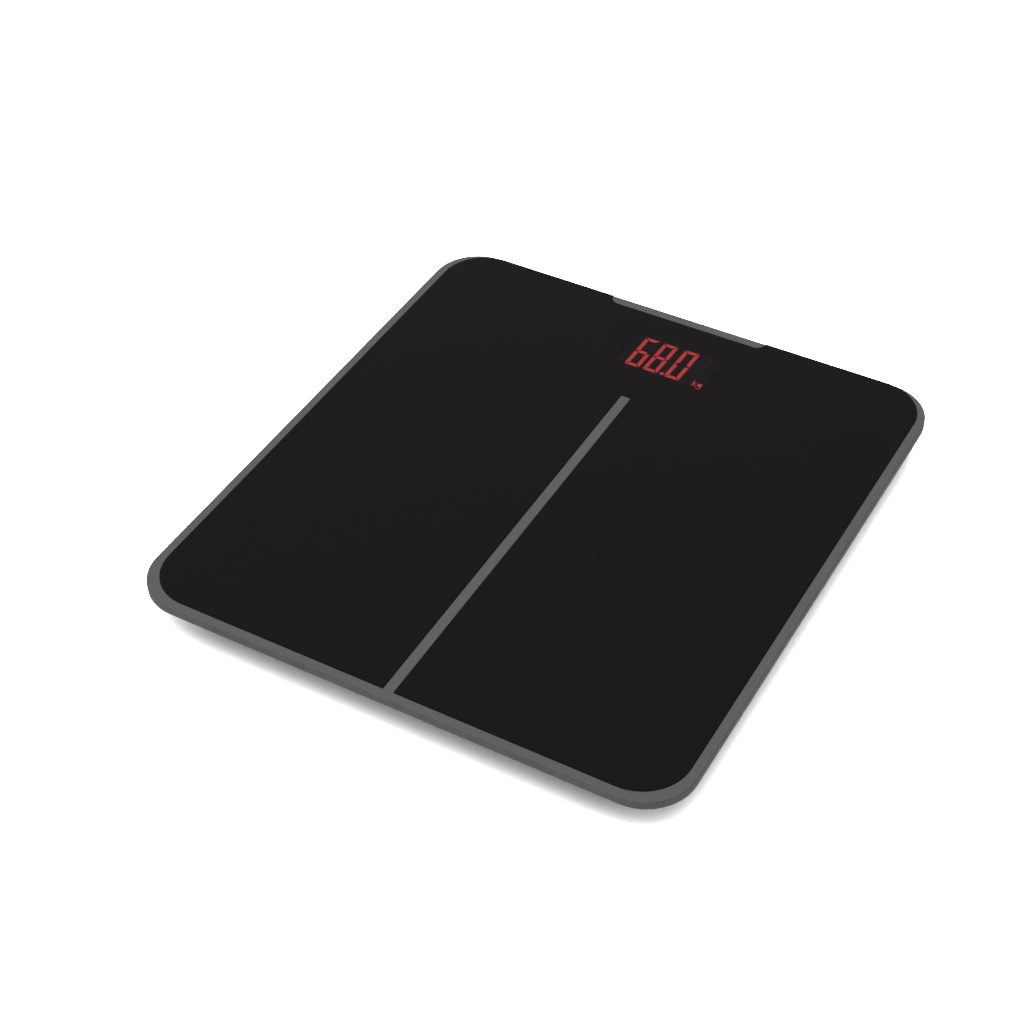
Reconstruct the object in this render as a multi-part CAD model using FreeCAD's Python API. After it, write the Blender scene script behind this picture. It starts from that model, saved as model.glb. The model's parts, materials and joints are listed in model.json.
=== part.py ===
"""Digital bathroom scale: grey platform frame, black standing panel, lit display, four sensing feet.

Millimetres. +X to the user's right, +Y away from the user (towards the display), +Z up.
The origin is on the floor, under the middle of the platform. Everything is stacked from the
levels named below, and what fits into something else is worked out from the same values.
"""
import FreeCAD, Part
import math
import os

from FreeCAD import Vector

# ---- Platform frame -------------------------------------------------------------------------
FRAME_WIDTH = 289.8
FRAME_LENGTH = 314.9
FRAME_CORNER = 25.5
FRAME_EDGE_ROUND = 0.6
WALL_HEIGHT = 4.8
RIM_WIDTH = 4.9
DECK_THICKNESS = 1.9

# ---- Standing panel -------------------------------------------------------------------------
TOP_LEVEL = 22.0
PANEL_THICKNESS = 3.0
PANEL_CORNER = 24.5
PANEL_PROUD = 0.3
PANEL_CHAMFER = 0.25
PANEL_GAP = 0.15
TAPE_MARGIN = 4.0

# ---- Centre rib and rear tab, both moulded on the frame --------------------------------------
RIB_WIDTH = 5.3
RIB_END_FROM_BACK = 75.1
RIB_CORNER = 0.8
TAB_WIDTH = 91.7
TAB_DEPTH = 5.5
TAB_CORNER = 5.0

# ---- Lower cover ----------------------------------------------------------------------------
COVER_BOTTOM = 3.5
COVER_WALL = 1.8
COVER_TOP_INSET = 12.0
COVER_BOTTOM_INSET = 20.0
COVER_TOP_CORNER = 20.0
COVER_BOTTOM_CORNER = 14.0
COVER_BEVEL = 1.0
LIP_HEIGHT = 2.5
LIP_WALL = 1.5
FIT_GAP = 0.2
RIB_DEPTH = 3.9
RIB_WALL = 1.6
RIB_PITCH = 28.0
RIB_FIELD_MARGIN = 6.0
POCKET_MARGIN = 3.0
CELL_POCKET_SIDE = 9.0

# ---- Display --------------------------------------------------------------------------------
DISPLAY_X = 2.25
DISPLAY_FROM_BACK = 36.9
DISPLAY_WIDTH = 62.0
DISPLAY_LENGTH = 32.0
MASK_THICKNESS = 1.0
LENS_WINDOW = 0.8
LENS_WALL = 1.9
LENS_CORNER = 3.0
LENS_FLANGE = 2.0
LENS_FLANGE_THICKNESS = 1.5
LENS_GAP = 0.04
GASKET_WALL = 1.7
DIGIT_WIDTH = 8.5
DIGIT_HEIGHT = 25.1
DIGIT_STROKE = 2.1
DIGIT_MITRE_GAP = 0.42
DIGIT_LEAN = 0.0386
DIGIT_PITCH = 10.7
FIRST_DIGIT_OFFSET = 16.5
POINT_SPACE = 2.0
POINT_SIZE = 2.1
SEGMENT_GAP = 0.04
LEGEND_HEIGHT = 4.4
LEGEND_STROKE = 0.5
LEGEND_OFFSET = 7.55
LEGEND_DROP = 0.4
READING = "680"

# ---- Circuit board --------------------------------------------------------------------------
BOARD_SIDE_MARGIN = 11.0
BOARD_END_MARGIN = 5.0
BOARD_THICKNESS = 1.6
BOARD_OFFSET = 2.55
BOARD_STANDOFF = 1.3
BOARD_SCREW_INSET = 3.5
PIN_RADIUS = 0.25
PIN_COUNT = 10
PIN_PITCH = 5.08
PIN_REACH = 1.0

# ---- Feet and load cells --------------------------------------------------------------------
FOOT_INSET = 45.0
FOOT_RADIUS = 16.0
FOOT_HOLE_GAP = 0.6
FOOT_FLANGE = 2.6
FOOT_FLANGE_THICKNESS = 1.2
FOOT_FLOOR = 2.0
FOOT_WALL = 2.0
FOOT_POST_RADIUS = 4.0
FOOT_TRAVEL = 0.6
PAD_RADIUS = 13.5
PAD_THICKNESS = 2.0
PAD_SUNK = 0.8
CELL_SIZE = 34.0
CELL_THICKNESS = 2.0
CELL_TOP = 12.8
CELL_SLOT = 2.0
TONGUE_WIDTH = 12.0
TONGUE_LENGTH = 22.0
SEAT_SIZE = 38.0
SEAT_OPENING = 28.0
RETAINER_LENGTH = 50.0
RETAINER_THICKNESS = 1.0
RETAINER_SCREW_OFFSET = 21.5
GAUGE_SIZE = 9.0
GAUGE_HEIGHT = 2.4
GAUGE_OFFSET = 5.0

# ---- Batteries (standard AAA cells) and their door --------------------------------------------
BATTERY_FROM_BOARD = 63.0
AAA_RADIUS = 5.25
AAA_LENGTH = 44.5
AAA_NUB_RADIUS = 1.9
AAA_NUB_LENGTH = 1.0
AAA_COUNT = 3
AAA_PITCH = 11.0
SPRING_SPACE = 6.6
SPRING_RADIUS = 3.0
SPRING_WIRE = 0.35
SPRING_TURNS = 3.5
CONTACT_THICKNESS = 0.4
CONTACT_DIMPLE = 0.6
CONTACT_SIZE = 8.6
TAG_REACH = 3.0
BOX_WALL = 1.5
BOX_TOP_GAP = 0.4
DOOR_THICKNESS = 1.5
DOOR_GAP = 0.3
DOOR_MARGIN = 0.6
DOOR_END_MARGIN = 1.0
DOOR_TAB_REACH = 1.5
DOOR_TAB_WIDTH = 8.0
DOOR_TAB_THICKNESS = 0.8
DOOR_TAB_SPACING = 30.0
LATCH_WIDTH = 14.0
LATCH_LENGTH = 8.0
LATCH_SLOT = 0.8
DOOR_PAD_THICKNESS = 0.6

# ---- Unit button ----------------------------------------------------------------------------
BUTTON_X = -14.0
BUTTON_FROM_BOARD = 17.5
BUTTON_WIDTH = 12.0
BUTTON_LENGTH = 7.0
BUTTON_RECESS = 0.3
BUTTON_TRAVEL = 0.5
SWITCH_SIZE = 6.0
SWITCH_HEIGHT = 4.3
PLUNGER_RADIUS = 1.7
PLUNGER_REACH = 1.1
PLUNGER_FIT = 0.05

# ---- Leads ----------------------------------------------------------------------------------
LEAD_RADIUS = 0.9
BATTERY_LEAD_RADIUS = 0.7
LEAD_GAP = 0.1
TRUNK_SHARE = 0.5277
KNEE_SHARE = 0.4222
DROP_SHARE = 0.1979
SCREW_SHARE = 0.4723
CONNECTOR_DEPTH = 6.0
CONNECTOR_WIDTH = 8.0
CONNECTOR_HEIGHT = 4.0
BACK_CONNECTOR_OFFSET = 1.0
FRONT_CONNECTOR_OFFSET = -9.0
BATTERY_LEAD_X = 30.5

# ---- Screws ---------------------------------------------------------------------------------
COVER_SCREW_RADIUS = 1.4
COVER_SCREW_LENGTH = 9.5
COVER_SCREW_HEAD_RADIUS = 2.7
COVER_SCREW_HEAD = 1.6
SMALL_SCREW_RADIUS = 0.95
SMALL_SCREW_HEAD_RADIUS = 1.9
SMALL_SCREW_HEAD = 1.2
SCREW_FIT = 0.05
SCREW_CUP_RADIUS = 4.8
SCREW_CUP_DEPTH = 3.0
BOSS_WALL = 2.1

# ---- Label ----------------------------------------------------------------------------------
LABEL_WIDTH = 80.0
LABEL_LENGTH = 45.0
LABEL_THICKNESS = 0.15
LABEL_Y = -45.0

# ---- Levels and places worked out from the sizes above ---------------------------------------
HALF_WIDTH = FRAME_WIDTH / 2
HALF_LENGTH = FRAME_LENGTH / 2
FRAME_TOP = TOP_LEVEL - PANEL_PROUD
FRAME_BOTTOM = FRAME_TOP - WALL_HEIGHT
DECK_TOP = FRAME_BOTTOM + DECK_THICKNESS
PANEL_BOTTOM = TOP_LEVEL - PANEL_THICKNESS
PANEL_WIDTH = FRAME_WIDTH - 2 * RIM_WIDTH
PANEL_LENGTH = FRAME_LENGTH - RIM_WIDTH
PANEL_Y = RIM_WIDTH / 2
RIB_END_Y = HALF_LENGTH - RIB_END_FROM_BACK
DISPLAY_Y = HALF_LENGTH - DISPLAY_FROM_BACK
BOARD_WIDTH = DISPLAY_WIDTH + 2 * BOARD_SIDE_MARGIN
BOARD_LENGTH = DISPLAY_LENGTH + 2 * BOARD_END_MARGIN
BOARD_Y = DISPLAY_Y - BOARD_OFFSET
BATTERY_Y = BOARD_Y - BATTERY_FROM_BOARD
BUTTON_Y = BOARD_Y - BUTTON_FROM_BOARD
BACK_CONNECTOR_Y = BOARD_Y + BACK_CONNECTOR_OFFSET
FRONT_CONNECTOR_Y = BOARD_Y + FRONT_CONNECTOR_OFFSET
COVER_FLOOR = COVER_BOTTOM + COVER_WALL
RIB_BOTTOM = FRAME_BOTTOM - RIB_DEPTH
MASK_TOP = TOP_LEVEL - LENS_WINDOW - 0.05
HOUSING_TOP = MASK_TOP - MASK_THICKNESS
BOARD_TOP = FRAME_BOTTOM - BOARD_STANDOFF
BOARD_BOTTOM = BOARD_TOP - BOARD_THICKNESS
LENS_WIDTH = DISPLAY_WIDTH + 2 * (LENS_WALL + 0.6)
LENS_LENGTH = DISPLAY_LENGTH + 2 * (LENS_WALL + 0.6)
DISPLAY_HOLE_GAP = 0.5
CELL_BOTTOM = CELL_TOP - CELL_THICKNESS
RETAINER_BOTTOM = CELL_BOTTOM - RETAINER_THICKNESS
FOOT_X = HALF_WIDTH - FOOT_INSET
FOOT_Y = HALF_LENGTH - FOOT_INSET
FOOT_BOTTOM = PAD_THICKNESS - PAD_SUNK
SEAT_EDGE = FOOT_X - SEAT_SIZE / 2 - 1.0
LEAD_STRIP = SEAT_EDGE - BOARD_WIDTH / 2
TRUNK_X = BOARD_WIDTH / 2 + TRUNK_SHARE * LEAD_STRIP
KNEE_X = BOARD_WIDTH / 2 + KNEE_SHARE * LEAD_STRIP
DROP_X = SEAT_EDGE - DROP_SHARE * LEAD_STRIP
SCREW_X = BOARD_WIDTH / 2 + SCREW_SHARE * LEAD_STRIP
DOOR_TOP = COVER_BOTTOM + DOOR_THICKNESS
AAA_Z = DOOR_TOP + DOOR_PAD_THICKNESS + 0.1 + AAA_RADIUS
AAA_SPAN = (AAA_COUNT - 1) * AAA_PITCH + 2 * AAA_RADIUS
BOX_INNER_X = AAA_LENGTH + SPRING_SPACE + CONTACT_DIMPLE + 2 * CONTACT_THICKNESS
DOOR_WIDTH = BOX_INNER_X - 2 * DOOR_MARGIN
DOOR_LENGTH = AAA_SPAN + 2 * DOOR_END_MARGIN
BOX_FRONT = BATTERY_Y - DOOR_LENGTH / 2 - DOOR_GAP - DOOR_TAB_REACH - 1.6
BOX_BACK = BATTERY_Y + DOOR_LENGTH / 2 + DOOR_GAP + 0.4
BOX_TOP = FRAME_BOTTOM - BOX_TOP_GAP
HINGE_Y = BATTERY_Y - DOOR_LENGTH / 2 + DOOR_THICKNESS / 2
HINGE_Z = COVER_BOTTOM + DOOR_THICKNESS / 2
SCREW_CUP_TOP = COVER_BOTTOM + SCREW_CUP_DEPTH + COVER_WALL
LEAD_Z = RIB_BOTTOM - LEAD_GAP - LEAD_RADIUS
BATTERY_LEAD_Z = RIB_BOTTOM - LEAD_GAP - BATTERY_LEAD_RADIUS
GAUGE_LEAD_Z = CELL_TOP + GAUGE_HEIGHT / 2
TAG_TOP = BATTERY_LEAD_Z - BATTERY_LEAD_RADIUS - 0.02
BATTERY_PLUG_FRONT = BOARD_Y - BOARD_LENGTH / 2 + 0.5
SWITCH_BOTTOM = BOARD_BOTTOM - SWITCH_HEIGHT
PLUNGER_BOTTOM = SWITCH_BOTTOM - PLUNGER_REACH
PLUNGER_TOP = SWITCH_BOTTOM + 1.8
FLANGE_BOTTOM = COVER_FLOOR + 0.1
FLANGE_TOP = FLANGE_BOTTOM + FOOT_FLANGE_THICKNESS
CORNERS = {
    "front_left": (-1, -1),
    "front_right": (1, -1),
    "back_left": (-1, 1),
    "back_right": (1, 1),
}
COVER_SCREWS = [
    (side * SCREW_X, end * (HALF_LENGTH - 31.0)) for side in (-1, 1) for end in (-1, 1)
] + [
    (side * (HALF_WIDTH - 31.0), end * (FOOT_Y - 72.0)) for side in (-1, 1) for end in (-1, 1)
]
BOARD_SCREWS = [
    (side * (BOARD_WIDTH / 2 - BOARD_SCREW_INSET), BOARD_Y + end * (BOARD_LENGTH / 2 - BOARD_SCREW_INSET))
    for side in (-1, 1) for end in (-1, 1)
]


# ---- Drawing helpers --------------------------------------------------------------------------
def rounded_wire(width, length, corner, z, x=0.0, y=0.0):
    """Rounded rectangle outline, centred on (x, y) at height z."""
    half_w = width / 2 - corner
    half_l = length / 2 - corner
    spots = [(1, 1, 0), (-1, 1, 90), (-1, -1, 180), (1, -1, 270)]
    up = Vector(0, 0, 1)
    arcs = [
        Part.makeCircle(corner, Vector(x + sx * half_w, y + sy * half_l, z), up, a, a + 90)
        for sx, sy, a in spots
    ]
    edges = []
    for here, after in zip(arcs, arcs[1:] + arcs[:1]):
        start = here.valueAt(here.LastParameter)
        end = after.valueAt(after.FirstParameter)
        edges.append(here)
        if start.distanceToPoint(end) > 1e-6:
            edges.append(Part.makeLine(start, end))
    return Part.Wire(edges)


def rounded_block(width, length, corner, bottom, top, x=0.0, y=0.0):
    """Upright block with a rounded rectangle outline."""
    outline = rounded_wire(width, length, corner, bottom, x, y)
    return Part.Face(outline).extrude(Vector(0, 0, top - bottom))


def block(width, length, bottom, top, x=0.0, y=0.0):
    """Upright block with square corners, centred on (x, y)."""
    corner = Vector(x - width / 2, y - length / 2, bottom)
    return Part.makeBox(width, length, top - bottom, corner)


def rod(radius, bottom, top, x=0.0, y=0.0):
    """Upright cylinder."""
    return Part.makeCylinder(radius, top - bottom, Vector(x, y, bottom))


def ring(outer, inner, bottom, top, x=0.0, y=0.0):
    """Upright tube."""
    return rod(outer, bottom, top, x, y).cut(rod(inner, bottom, top, x, y))


def prism(points, bottom, top):
    """Upright prism over a closed polygon."""
    corners = [Vector(px, py, bottom) for px, py in points]
    return Part.Face(Part.makePolygon(corners + corners[:1])).extrude(Vector(0, 0, top - bottom))


def fused(shapes):
    """One solid from several that touch or overlap."""
    return shapes[0].multiFuse(shapes[1:]).removeSplitter()


def edges_at(shape, z):
    """Edges that lie wholly at height z."""
    return [e for e in shape.Edges if max(abs(e.BoundBox.ZMin - z), abs(e.BoundBox.ZMax - z)) < 1e-4]


def smooth_route(points):
    """Straight runs joined by tangent arcs, each as large as its two runs allow."""
    knots = [Vector(*p) for p in points]
    edges = []
    start = knots[0]
    for before, corner, after in zip(knots, knots[1:], knots[2:]):
        run_in = corner - before
        run_out = after - corner
        turn = run_in.getAngle(run_out)
        reach = 0.45 * min(run_in.Length, run_out.Length)
        radius = reach / math.tan(turn / 2)
        run_in.normalize()
        run_out.normalize()
        arc_start = corner - run_in * reach
        arc_end = corner + run_out * reach
        inward = run_out - run_in
        inward.normalize()
        centre = corner + inward * (radius / math.cos(turn / 2))
        middle = centre - inward * radius
        edges.append(Part.LineSegment(start, arc_start).toShape())
        edges.append(Part.Arc(arc_start, middle, arc_end).toShape())
        start = arc_end
    edges.append(Part.LineSegment(start, knots[-1]).toShape())
    return Part.Wire(edges)


def lead_along(points, radius):
    """Round lead swept along a smooth route."""
    route = smooth_route(points)
    first = route.Edges[0]
    start = first.FirstParameter
    section = Part.makeCircle(radius, first.valueAt(start), first.tangentAt(start))
    lead = route.makePipeShell([Part.Wire([section])], True, False)
    expected = math.pi * radius ** 2 * route.Length
    print("lead %.1f mm, volume over section times length %.4f" % (route.Length, lead.Volume / expected))
    return lead


def screw(radius, head_radius, head, length, under_head, x, y):
    """Pan-head screw that points up, with a cross recess in its head."""
    body = rod(head_radius, under_head - head, under_head, x, y)
    body = body.fuse(rod(radius, under_head, under_head + length, x, y))
    slot = 0.28 * head_radius
    for width, depth in ((1.2 * head_radius, slot), (slot, 1.2 * head_radius)):
        body = body.cut(block(width, depth, under_head - head, under_head - 0.45 * head, x, y))
    return body


def cover_inset(z):
    """How far the sloping side of the lower cover stands in from the frame's edge at height z."""
    drop = (FRAME_BOTTOM - z) / (FRAME_BOTTOM - COVER_BOTTOM - COVER_BEVEL)
    return COVER_TOP_INSET + (COVER_BOTTOM_INSET - COVER_TOP_INSET) * drop


def cover_corner(z):
    """Corner radius of the lower cover at height z."""
    drop = (FRAME_BOTTOM - z) / (FRAME_BOTTOM - COVER_BOTTOM - COVER_BEVEL)
    return COVER_TOP_CORNER + (COVER_BOTTOM_CORNER - COVER_TOP_CORNER) * drop


def cover_outline(z, inwards=0.0):
    """Outline of the lower cover at height z, moved inwards by a given amount."""
    inset = cover_inset(z) + inwards
    corner = cover_corner(z) - inwards
    return rounded_wire(FRAME_WIDTH - 2 * inset, FRAME_LENGTH - 2 * inset, corner, z)


# ---- Platform frame -------------------------------------------------------------------------
def panel_block(bottom, top, grow=0.0):
    """The standing panel's outline as a block, optionally grown all round."""
    width = PANEL_WIDTH + 2 * grow
    length = PANEL_LENGTH + 2 * grow
    return rounded_block(width, length, PANEL_CORNER + grow, bottom, top, 0, PANEL_Y)


def centre_rib(bottom, top, grow=0.0):
    """The long rib from the front rim towards the display."""
    front = -HALF_LENGTH + RIM_WIDTH - 2.0
    back = RIB_END_Y + grow
    width = RIB_WIDTH + 2 * grow
    return rounded_block(width, back - front, RIB_CORNER + grow, bottom, top, 0, (front + back) / 2)


def rear_tab(bottom, top, grow=0.0):
    """The tab at the middle of the back edge; it runs past the edge, where other outlines trim it."""
    depth = 2 * (TAB_DEPTH + grow)
    return rounded_block(TAB_WIDTH + 2 * grow, depth, TAB_CORNER + grow, bottom, top, 0, HALF_LENGTH)


def rib_field():
    """Stiffening grid under the deck, kept out of the pockets that hold the working parts."""
    inset = cover_inset(RIB_BOTTOM) + RIB_FIELD_MARGIN
    width = FRAME_WIDTH - 2 * inset
    length = FRAME_LENGTH - 2 * inset
    count_x = int(width / 2 / RIB_PITCH)
    count_y = int(length / 2 / RIB_PITCH)
    bars = [block(RIB_WALL, length, RIB_BOTTOM, FRAME_BOTTOM, i * RIB_PITCH, 0)
            for i in range(-count_x, count_x + 1)]
    bars += [block(width, RIB_WALL, RIB_BOTTOM, FRAME_BOTTOM, 0, i * RIB_PITCH)
             for i in range(-count_y, count_y + 1)]
    grid = bars[0].multiFuse(bars[1:])
    grid = grid.common(rounded_block(width, length, COVER_BOTTOM_CORNER, RIB_BOTTOM, FRAME_BOTTOM))
    cell_width = SEAT_SIZE + 2 * CELL_POCKET_SIDE
    cell_length = RETAINER_LENGTH + 2 * POCKET_MARGIN
    pockets = [block(cell_width, cell_length, RIB_BOTTOM, FRAME_BOTTOM, sx * FOOT_X, sy * FOOT_Y)
               for sx, sy in CORNERS.values()]
    board_width = BOARD_WIDTH + 2 * POCKET_MARGIN
    board_length = BOARD_LENGTH + 2 * POCKET_MARGIN
    pockets.append(block(board_width, board_length, RIB_BOTTOM, FRAME_BOTTOM, 0, BOARD_Y))
    box_length = BOX_BACK - BOX_FRONT + 2 * (BOX_WALL + POCKET_MARGIN)
    box_width = BOX_INNER_X + 2 * (BOX_WALL + TAG_REACH + POCKET_MARGIN)
    pockets.append(block(box_width, box_length, RIB_BOTTOM, FRAME_BOTTOM, 0, (BOX_BACK + BOX_FRONT) / 2))
    return grid.cut(pockets[0].multiFuse(pockets[1:]))


def frame_bosses():
    """Screw bosses, load-cell seats, locating lip and battery dividers under the deck."""
    pieces = []
    for x, y in COVER_SCREWS:
        pieces.append(rod(COVER_SCREW_RADIUS + BOSS_WALL, SCREW_CUP_TOP, FRAME_BOTTOM, x, y))
    for x, y in BOARD_SCREWS:
        pieces.append(rod(SMALL_SCREW_RADIUS + BOSS_WALL, BOARD_TOP, FRAME_BOTTOM, x, y))
    for sx, sy in CORNERS.values():
        x = sx * FOOT_X
        y = sy * FOOT_Y
        seat = rounded_block(SEAT_SIZE, SEAT_SIZE, 3, CELL_TOP, FRAME_BOTTOM, x, y)
        seat = seat.cut(rounded_block(SEAT_OPENING, SEAT_OPENING, 2, CELL_TOP, FRAME_BOTTOM, x, y))
        notch = block(SEAT_SIZE / 2, 2 * LEAD_RADIUS + 1.6, CELL_TOP, FRAME_BOTTOM,
                      x - sx * SEAT_SIZE / 2, y - GAUGE_OFFSET)
        pieces.append(seat.cut(notch))
        for end in (-1, 1):
            pieces.append(rod(SMALL_SCREW_RADIUS + BOSS_WALL, CELL_BOTTOM, FRAME_BOTTOM,
                              x, y + end * RETAINER_SCREW_OFFSET))
    lip_bottom = FRAME_BOTTOM - LIP_HEIGHT
    inset = cover_inset(lip_bottom) + COVER_WALL + FIT_GAP
    corner = cover_corner(lip_bottom) - COVER_WALL - FIT_GAP
    lip = rounded_block(FRAME_WIDTH - 2 * inset, FRAME_LENGTH - 2 * inset, corner, lip_bottom, FRAME_BOTTOM)
    inner = inset + LIP_WALL
    pieces.append(lip.cut(rounded_block(FRAME_WIDTH - 2 * inner, FRAME_LENGTH - 2 * inner,
                                        corner - LIP_WALL, lip_bottom, FRAME_BOTTOM)))
    for row in range(AAA_COUNT - 1):
        y = BATTERY_Y + (row - (AAA_COUNT - 2) / 2) * AAA_PITCH
        pieces.append(block(AAA_LENGTH * 0.7, 0.9, AAA_Z + 0.7 * AAA_RADIUS, FRAME_BOTTOM, 0, y))
    return pieces


def frame_screw_holes():
    """Pilot holes in the bosses."""
    holes = []
    for x, y in COVER_SCREWS:
        top = SCREW_CUP_TOP - COVER_WALL + COVER_SCREW_LENGTH + 0.5
        holes.append(rod(COVER_SCREW_RADIUS + SCREW_FIT, SCREW_CUP_TOP, top, x, y))
    for x, y in BOARD_SCREWS:
        holes.append(rod(SMALL_SCREW_RADIUS + SCREW_FIT, BOARD_TOP, DECK_TOP - 0.6, x, y))
    for sx, sy in CORNERS.values():
        for end in (-1, 1):
            holes.append(rod(SMALL_SCREW_RADIUS + SCREW_FIT, CELL_BOTTOM, CELL_BOTTOM + 5.0,
                             sx * FOOT_X, sy * FOOT_Y + end * RETAINER_SCREW_OFFSET))
    return holes


def platform_frame():
    """Moulded frame: rim, deck, centre rib, rear tab, and everything that hangs under the deck."""
    slab = rounded_block(FRAME_WIDTH, FRAME_LENGTH, FRAME_CORNER, FRAME_BOTTOM, FRAME_TOP)
    slab = slab.makeFillet(FRAME_EDGE_ROUND, edges_at(slab, FRAME_TOP) + edges_at(slab, FRAME_BOTTOM))
    recess = panel_block(DECK_TOP, TOP_LEVEL, PANEL_GAP)
    recess = recess.cut(centre_rib(DECK_TOP, TOP_LEVEL).fuse(rear_tab(DECK_TOP, TOP_LEVEL)))
    body = slab.cut(recess)
    opening = block(DISPLAY_WIDTH + 2 * DISPLAY_HOLE_GAP, DISPLAY_LENGTH + 2 * DISPLAY_HOLE_GAP,
                    FRAME_BOTTOM, DECK_TOP, DISPLAY_X, DISPLAY_Y)
    body = body.cut(opening)
    body = body.multiFuse(frame_bosses() + [rib_field()])
    holes = frame_screw_holes()
    body = body.cut(holes[0].multiFuse(holes[1:]))
    return body.removeSplitter()


# ---- Standing panel -------------------------------------------------------------------------
def top_panel():
    """Black standing panel with its slot, its notch and a stepped window for the lens."""
    panel = panel_block(PANEL_BOTTOM, TOP_LEVEL)
    panel = panel.cut(centre_rib(PANEL_BOTTOM, TOP_LEVEL, PANEL_GAP))
    panel = panel.cut(rear_tab(PANEL_BOTTOM, TOP_LEVEL, PANEL_GAP))
    panel = panel.makeChamfer(PANEL_CHAMFER, edges_at(panel, TOP_LEVEL))
    window = rounded_block(LENS_WIDTH + 2 * LENS_GAP, LENS_LENGTH + 2 * LENS_GAP, LENS_CORNER + LENS_GAP,
                           PANEL_BOTTOM, TOP_LEVEL, DISPLAY_X, DISPLAY_Y)
    grow = 2 * (LENS_FLANGE + FIT_GAP)
    step_top = PANEL_BOTTOM + LENS_FLANGE_THICKNESS + 0.05
    step = rounded_block(LENS_WIDTH + grow, LENS_LENGTH + grow, LENS_CORNER + 1, PANEL_BOTTOM, step_top,
                         DISPLAY_X, DISPLAY_Y)
    return panel.cut(window.fuse(step))


def panel_tape():
    """Double-sided tape sheet between the deck and the panel."""
    sheet = panel_block(DECK_TOP, PANEL_BOTTOM, -TAPE_MARGIN)
    sheet = sheet.cut(centre_rib(DECK_TOP, PANEL_BOTTOM, TAPE_MARGIN))
    sheet = sheet.cut(rear_tab(DECK_TOP, PANEL_BOTTOM, TAPE_MARGIN))
    grow = 2 * (LENS_FLANGE + TAPE_MARGIN / 2)
    return sheet.cut(rounded_block(LENS_WIDTH + grow, LENS_LENGTH + grow, LENS_CORNER + 1,
                                   DECK_TOP, PANEL_BOTTOM, DISPLAY_X, DISPLAY_Y))


# ---- Display --------------------------------------------------------------------------------
def display_lens():
    """Smoked lens: flush with the panel, trapped by its flange, hollow over the display module."""
    flange_top = PANEL_BOTTOM + LENS_FLANGE_THICKNESS
    lens = rounded_block(LENS_WIDTH, LENS_LENGTH, LENS_CORNER, PANEL_BOTTOM, TOP_LEVEL, DISPLAY_X, DISPLAY_Y)
    lens = lens.fuse(rounded_block(LENS_WIDTH + 2 * LENS_FLANGE, LENS_LENGTH + 2 * LENS_FLANGE,
                                   LENS_CORNER + 1, PANEL_BOTTOM, flange_top, DISPLAY_X, DISPLAY_Y))
    hollow = rounded_block(LENS_WIDTH - 2 * LENS_WALL, LENS_LENGTH - 2 * LENS_WALL, 1,
                           PANEL_BOTTOM, TOP_LEVEL - LENS_WINDOW, DISPLAY_X, DISPLAY_Y)
    return lens.cut(hollow).removeSplitter()


def segment_points(name):
    """Corners of one bar of a seven-bar digit, from the digit's lower left corner, upright."""
    w = DIGIT_WIDTH
    h = DIGIT_HEIGHT
    s = DIGIT_STROKE
    e = DIGIT_MITRE_GAP
    m = h / 2
    top = [(e, h), (w - e, h), (w - s - e, h - s), (s + e, h - s)]
    upper_left = [(0, h - e), (s, h - s - e), (s, m + s / 2 + e), (s / 2, m + e), (0, m + e)]
    middle = [(s / 2 + e, m), (s + e, m + s / 2), (w - s - e, m + s / 2), (w - s / 2 - e, m),
              (w - s - e, m - s / 2), (s + e, m - s / 2)]
    shapes = {
        "a": top,
        "d": [(x, h - y) for x, y in top],
        "f": upper_left,
        "e": [(x, h - y) for x, y in upper_left],
        "b": [(w - x, y) for x, y in upper_left],
        "c": [(w - x, h - y) for x, y in upper_left],
        "g": middle,
    }
    return shapes[name]


BARS_OF_DIGIT = {"6": "acdefg", "8": "abcdefg", "0": "abcdef"}


def digit_origin(place):
    """Lower left corner of a digit; place -1 is the leading one that stays dark."""
    left = DISPLAY_X - FIRST_DIGIT_OFFSET + place * DIGIT_PITCH
    if place == 2:
        left += POINT_SPACE
    return left, DISPLAY_Y - DIGIT_HEIGHT / 2


def bar_prism(place, name, grow=0.0):
    """One bar as a prism as thick as the mask."""
    left, base = digit_origin(place)
    points = [(left + x + DIGIT_LEAN * y, base + y) for x, y in segment_points(name)]
    if grow:
        corners = [Vector(px, py, HOUSING_TOP) for px, py in points]
        outline = Part.makePolygon(corners + corners[:1]).makeOffset2D(grow, 2)
        return Part.Face(outline).extrude(Vector(0, 0, MASK_THICKNESS))
    return prism(points, HOUSING_TOP, MASK_TOP)


def point_prism(grow=0.0):
    """The decimal point."""
    left, base = digit_origin(2)
    x = left - 0.6 - POINT_SIZE / 2
    size = POINT_SIZE + 2 * grow
    return block(size, size, HOUSING_TOP, MASK_TOP, x, base + POINT_SIZE / 2 + 0.2)


def lit_bars():
    """(place, bar) of every bar that is lit."""
    return [(place, bar) for place, digit in enumerate(READING) for bar in BARS_OF_DIGIT[digit]]


def dark_bars():
    """(place, bar) of every bar that is off, with the leading digit's two bars."""
    off = [(place, bar) for place, digit in enumerate(READING) for bar in "abcdefg"
           if bar not in BARS_OF_DIGIT[digit]]
    return off + [(-1, "b"), (-1, "c")]


def stroke(x0, y0, x1, y1, width):
    """Straight stroke of a letter, as thick as the mask."""
    run = math.hypot(x1 - x0, y1 - y0)
    across = ((y0 - y1) / run * width / 2, (x1 - x0) / run * width / 2)
    points = [(x0 + across[0], y0 + across[1]), (x0 - across[0], y0 - across[1]),
              (x1 - across[0], y1 - across[1]), (x1 + across[0], y1 + across[1])]
    return prism(points, HOUSING_TOP, MASK_TOP)


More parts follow.
